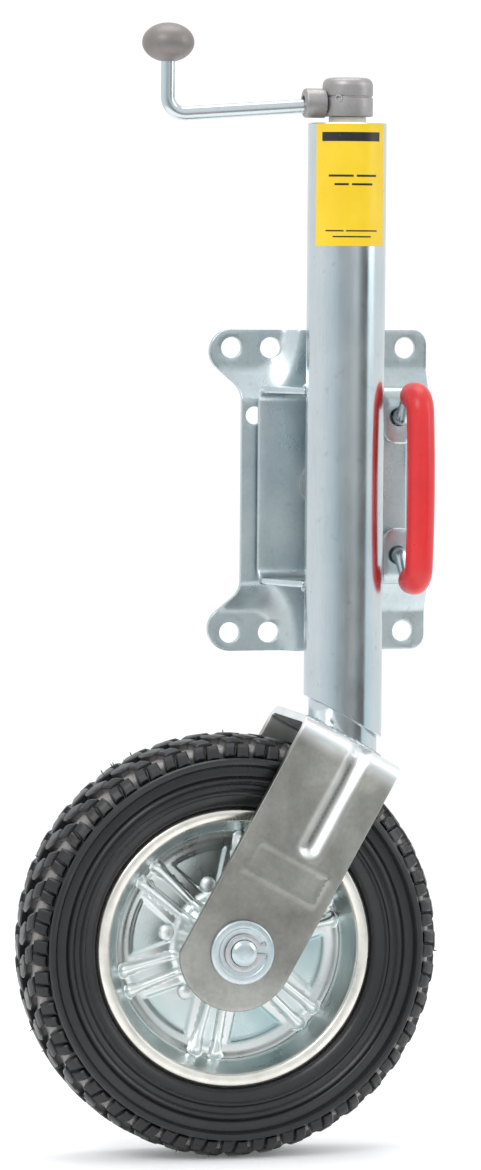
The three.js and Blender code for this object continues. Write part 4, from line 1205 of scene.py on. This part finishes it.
def hub_body():
    """The cast hub: a drum with a shallow groove round it, and a stub for the rod."""
    r = HUB_HIGH[0]
    low, high = HUB_LOW[2] + 1.0, HUB_HIGH[2]
    drum = rounded([
        (0, low), (r, low, 0.8), (r, low + 11.2, 0.3), (r - 0.7, low + 11.7, 0.2), (r - 0.7, low + 12.3, 0.2),
        (r, low + 12.8, 0.3), (r, high - 4, 2), (r - 1.3, high - 1.4, 2), (r - 4, high - 0.3, 2), (0, high),
    ], 0.5, 4, False)
    stub = [(0, 0), (9, 0), (9, 12.6, 1.5), (6.5, 13.3, 1), (4.6, 13.3, 0.2), (4.6, 2), (0, 2)]
    verts, faces = lathe(rounded(stub, 0.5, 4, False), 80)
    placed = [(HUB_LOW[0] + 13.3 - z, y + TUBE_Y, x + CRANK_Z) for x, y, z in verts]
    return merged(lathe(drum, 160, "z", TUBE_AXIS), (placed, faces))


piece("crank_hub_casting", hub_body(), "cast_grey", "crank", ["crank_hub"])


def split_pin():
    """A split pin through the hub and the screw, its open ends just proud of the casting."""
    turn = math.radians(55)
    along = np.array([math.cos(turn), math.sin(turn), 0])
    across = np.array([-along[1], along[0], 0])
    middle = centre_mm("hub_roll_pin") * (0, 0, 1) + TUBE_AXIS
    half = HUB_HIGH[0] - TUBE_X + 0.5
    shapes = []
    for start in (-half, half - 6):
        shapes.append(sweep([middle + along * (start + 1.5 * k) for k in range(5)], 2.3, 28, bore=1.5))
    slit = [middle + along * half * share + across * 2.2 for share in (0.9, 1)]
    return merged(*shapes, sweep(slit, 0.3, 8))


piece("hub_split_pin", split_pin(), "plain_steel", "crank", ["hub_roll_pin"])


# ---------------------------------------------------------------- lock pins, springs and handle
def helix(x, radius, turns, y0, y1, z, per_turn=36):
    """A coil round a line parallel to Y, closed up at both ends."""
    count = int(turns * per_turn)
    path = []
    for k in range(count + 1):
        t = k / count
        rise = (float(blend_step(t, 0.0, 1.0)) + t) / 2
        a = TAU * turns * t
        path.append((x + radius * math.cos(a), y0 + (y1 - y0) * rise, z + radius * math.sin(a)))
    return path


for place, sign in (("upper", 1), ("lower", -1)):
    low, high = box_mm(f"pin_spring_{place}")
    z = PIVOT_Z + sign * PIN_OFFSET
    coil = sweep(helix(PIN_OFFSET, 7.0, 3.5, low[1] + 0.7, high[1] - 2.9, z), 0.6, 12, end_round=0.2)
    piece(f"pin_spring_{place}_coil", coil, "plain_steel", "column", [f"pin_spring_{place}"])
    ring_piece(f"pin_collar_{place}_ring", f"pin_collar_{place}", 5.3, 8.5, "handle", "y", 48,
               centre=(PIN_OFFSET, 0, z))

PIN_R = 5.0
PIN_TIP = box_mm("handle_rod")[1][1]
GRIP_R = half_size("handle_grip", 0)
GRIP_HALF = half_size("handle_grip", 2) - GRIP_R
GRIP_Y = -87.0
GRIP_BOW = 4.5


def handle_path(ends, radius, pieces, gap):
    """Down one side of the handle, through the grip and back, from (Y, Z) points of the upper side."""
    upper = [(PIN_OFFSET, y, PIVOT_Z + z) for y, z in ends]
    lower = [(PIN_OFFSET, y, PIVOT_Z - z) for y, z in reversed(ends)]
    path = []
    for p in filled(bent(upper + lower, radius, pieces), gap):
        share = min(abs(p[2] - PIVOT_Z) / GRIP_HALF, 1)
        bow = GRIP_BOW * float(blend_step(-p[1], 60, 82)) * (1 - share ** 2)
        path.append(p - np.array([0, bow, 0]))
    return path


grip_corner = (GRIP_Y, GRIP_HALF)
rod_path = handle_path([(PIN_TIP, PIN_OFFSET), (-50, PIN_OFFSET), (-64, GRIP_HALF), grip_corner], 9, 12, 6)
rod_bar = sweep(rod_path, PIN_R, 32, end_round=1.2)
piece("handle_rod_bar", rod_bar, "zinc_tube", "handle", ["handle_rod"])
sleeve_path = handle_path([(-70, GRIP_HALF), grip_corner], 9.2, 16, 4)
sleeve = sweep(sleeve_path, GRIP_R, 48, bore=PIN_R + 0.3, end_round=1.6)
piece("handle_grip_sleeve", sleeve, "red_vinyl", "handle", ["handle_grip"])


# ---------------------------------------------------------------- label
def label():
    """A film wrapped round the tube, with its print laid out in UV space."""
    low, high = (corner[2] for corner in box_mm("information_label"))
    centre = math.radians(-7.6) - math.pi / 2
    half = math.radians(56.7)
    cols, rows = 60, 24
    verts = []
    for r in (TUBE_R + 0.55, TUBE_R + 0.3):
        line = arc(TUBE_X, TUBE_Y, r, centre - half, centre + half, cols)
        verts += [(x, y, low + (high - low) * j / rows) for j in range(rows + 1) for x, y in line]
    faces = layered(*np.arange(len(verts)).reshape(2, rows + 1, cols + 1), False)
    obj = piece("information_film", (verts, faces), "label_yellow", "column", ["information_label"])
    layer = obj.data.uv_layers.new(name="print")
    for loop in obj.data.loops:
        co = obj.data.vertices[loop.vertex_index].co / MM
        a = math.atan2(co.y - TUBE_Y, co.x - TUBE_X)
        layer.data[loop.index].uv = ((a - centre + half) / (2 * half), (co.z - low) / (high - low))


label()


# ---------------------------------------------------------------- CAD nodes that keep their own shape
KEPT = {
    "pivot_bolt": "plain_steel", "pivot_washer": "plain_steel", "pivot_nut": "plain_steel",
    "pivot_spacer": "nylon", "thrust_ball_cage": "brass", "lifting_screw": "plain_steel",
    "screw_nut": "brass",
}
for node, material in KEPT.items():
    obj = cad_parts[node]
    obj.data.materials.clear()
    obj.data.materials.append(LOOKS[material].owner)
    bevel = obj.modifiers.new("edge", "BEVEL")
    bevel.width = 0.3 * MM
    bevel.segments = 2
    bevel.limit_method = "ANGLE"
    bevel.angle_limit = math.radians(40)


# ---------------------------------------------------------------- stage, light and camera
FLOOR_R = 1.15                           # in metres, as is everything in this section
FLOOR_Z = box_mm("tyre")[0][2] * MM


def floor():
    """A pale round floor under the wheel."""
    look = Look(bpy.data.materials.new("studio_white"))
    white = (0.93, 0.93, 0.93)
    look.set("Base Color", look.ramp(look.noise(3, 2), (0.3, white), (0.7, tuple(c * 0.99 for c in white))))
    look.set("Roughness", 0.9)
    look.set("Specular IOR Level", 0.1)
    look.set("Emission Color", (1, 1, 1))
    look.set("Emission Strength", 0.12)
    mesh = bpy.data.meshes.new("studio_floor")
    rim = [(x, y, FLOOR_Z) for x, y in circle(0, 0, FLOOR_R, 96)]
    faces = [[0, 1 + k, 1 + (k + 1) % len(rim)] for k in range(len(rim))]
    mesh.from_pydata([(0, 0, FLOOR_Z)] + rim, [], faces)
    obj = bpy.data.objects.new("studio_floor", mesh)
    bpy.context.scene.collection.objects.link(obj)
    mesh.materials.append(look.owner)


def area_light(name, at, size, power):
    data = bpy.data.lights.new(name, "AREA")
    data.shape = "RECTANGLE"
    data.size, data.size_y = size
    data.energy = power
    obj = bpy.data.objects.new(name, data)
    obj.location = at
    obj.rotation_euler = (Vector((0, -0.07, -0.05)) - Vector(at)).to_track_quat("-Z", "Y").to_euler()
    bpy.context.scene.collection.objects.link(obj)


def world_light():
    """White walls behind and above, and a duller room in front that is dark below the horizon."""
    world = bpy.data.worlds.new("studio")
    bpy.context.scene.world = world
    look = Look(world, "Background")
    x, y, z = look.axes(look.nodes.new("ShaderNodeTexCoord").outputs["Generated"])
    right, back, up = (look.maths("MULTIPLY_ADD", axis, 0.5) for axis in (x, y, z))
    front = look.ramp(right, (0.05, (0.80, 0.86, 0.90)), (0.25, (0.50, 0.56, 0.59)),
                      (0.45, (0.62, 0.66, 0.67)), (0.62, (0.86, 0.89, 0.90)), (0.80, (0.78, 0.90, 0.95)))
    front = look.mix(look.ramp(up, (0.52, 0.0), (0.70, 1.0)), front, (0.96, 0.98, 1.0))
    below = look.ramp(up, (0.43, 0.55), (0.455, 1.0), (0.469, 1.0), (0.485, 0.0))
    centred = look.ramp(right, (0.22, 0.0), (0.46, 0.8), (0.80, 1.0), (0.90, 0.0))
    edge = look.ramp(right, (0.66, 0.0), (0.76, 0.75), (0.85, 0.95), (0.893, 0.95), (0.905, 0.0))
    low = look.ramp(up, (0.50, 1.0), (0.60, 0.0))
    dark = look.maths("MAXIMUM", look.maths("MULTIPLY", below, centred), look.maths("MULTIPLY", edge, low))
    front = look.mix(dark, front, (0.105, 0.088, 0.080))
    tone = look.mix(look.ramp(back, (0.30, 0.0), (0.50, 1.0)), front, (0.97, 0.99, 1.0))
    seen = look.nodes.new("ShaderNodeLightPath").outputs["Is Camera Ray"]
    look.set("Color", look.mix(seen, tone, (1.05, 1.05, 1.05)))
    look.set("Strength", 1.0)


def camera():
    """The photographer stood to the left, level with the label, some 3.6 m away."""
    at = Vector((-0.900, -3.475, 0.1637))
    yaw, pitch, roll = 0.2404, -0.0623, 0.0075
    forward = Vector((math.sin(yaw) * math.cos(pitch), math.cos(yaw) * math.cos(pitch), math.sin(pitch)))
    data = bpy.data.cameras.new("camera")
    data.sensor_fit = "VERTICAL"
    data.sensor_height = 36.0
    data.lens = 36.0 * 5729.5 / 1170
    data.clip_end = 100
    obj = bpy.data.objects.new("camera", data)
    obj.location = at
    tilt = Matrix.Rotation(roll, 3, "Z").to_quaternion()
    obj.rotation_euler = (forward.to_track_quat("-Z", "Y") @ tilt).to_euler()
    bpy.context.scene.collection.objects.link(obj)
    bpy.context.scene.camera = obj


floor()
world_light()
area_light("key", (-1.8, -2.0, 2.1), (1.2, 1.4), 30)
area_light("fill", (2.4, -1.2, 1.0), (1.0, 1.8), 12)
area_light("top", (0, 0.4, 2.4), (2.2, 1.4), 22)
camera()
bpy.context.scene.view_settings.view_transform = "Standard"
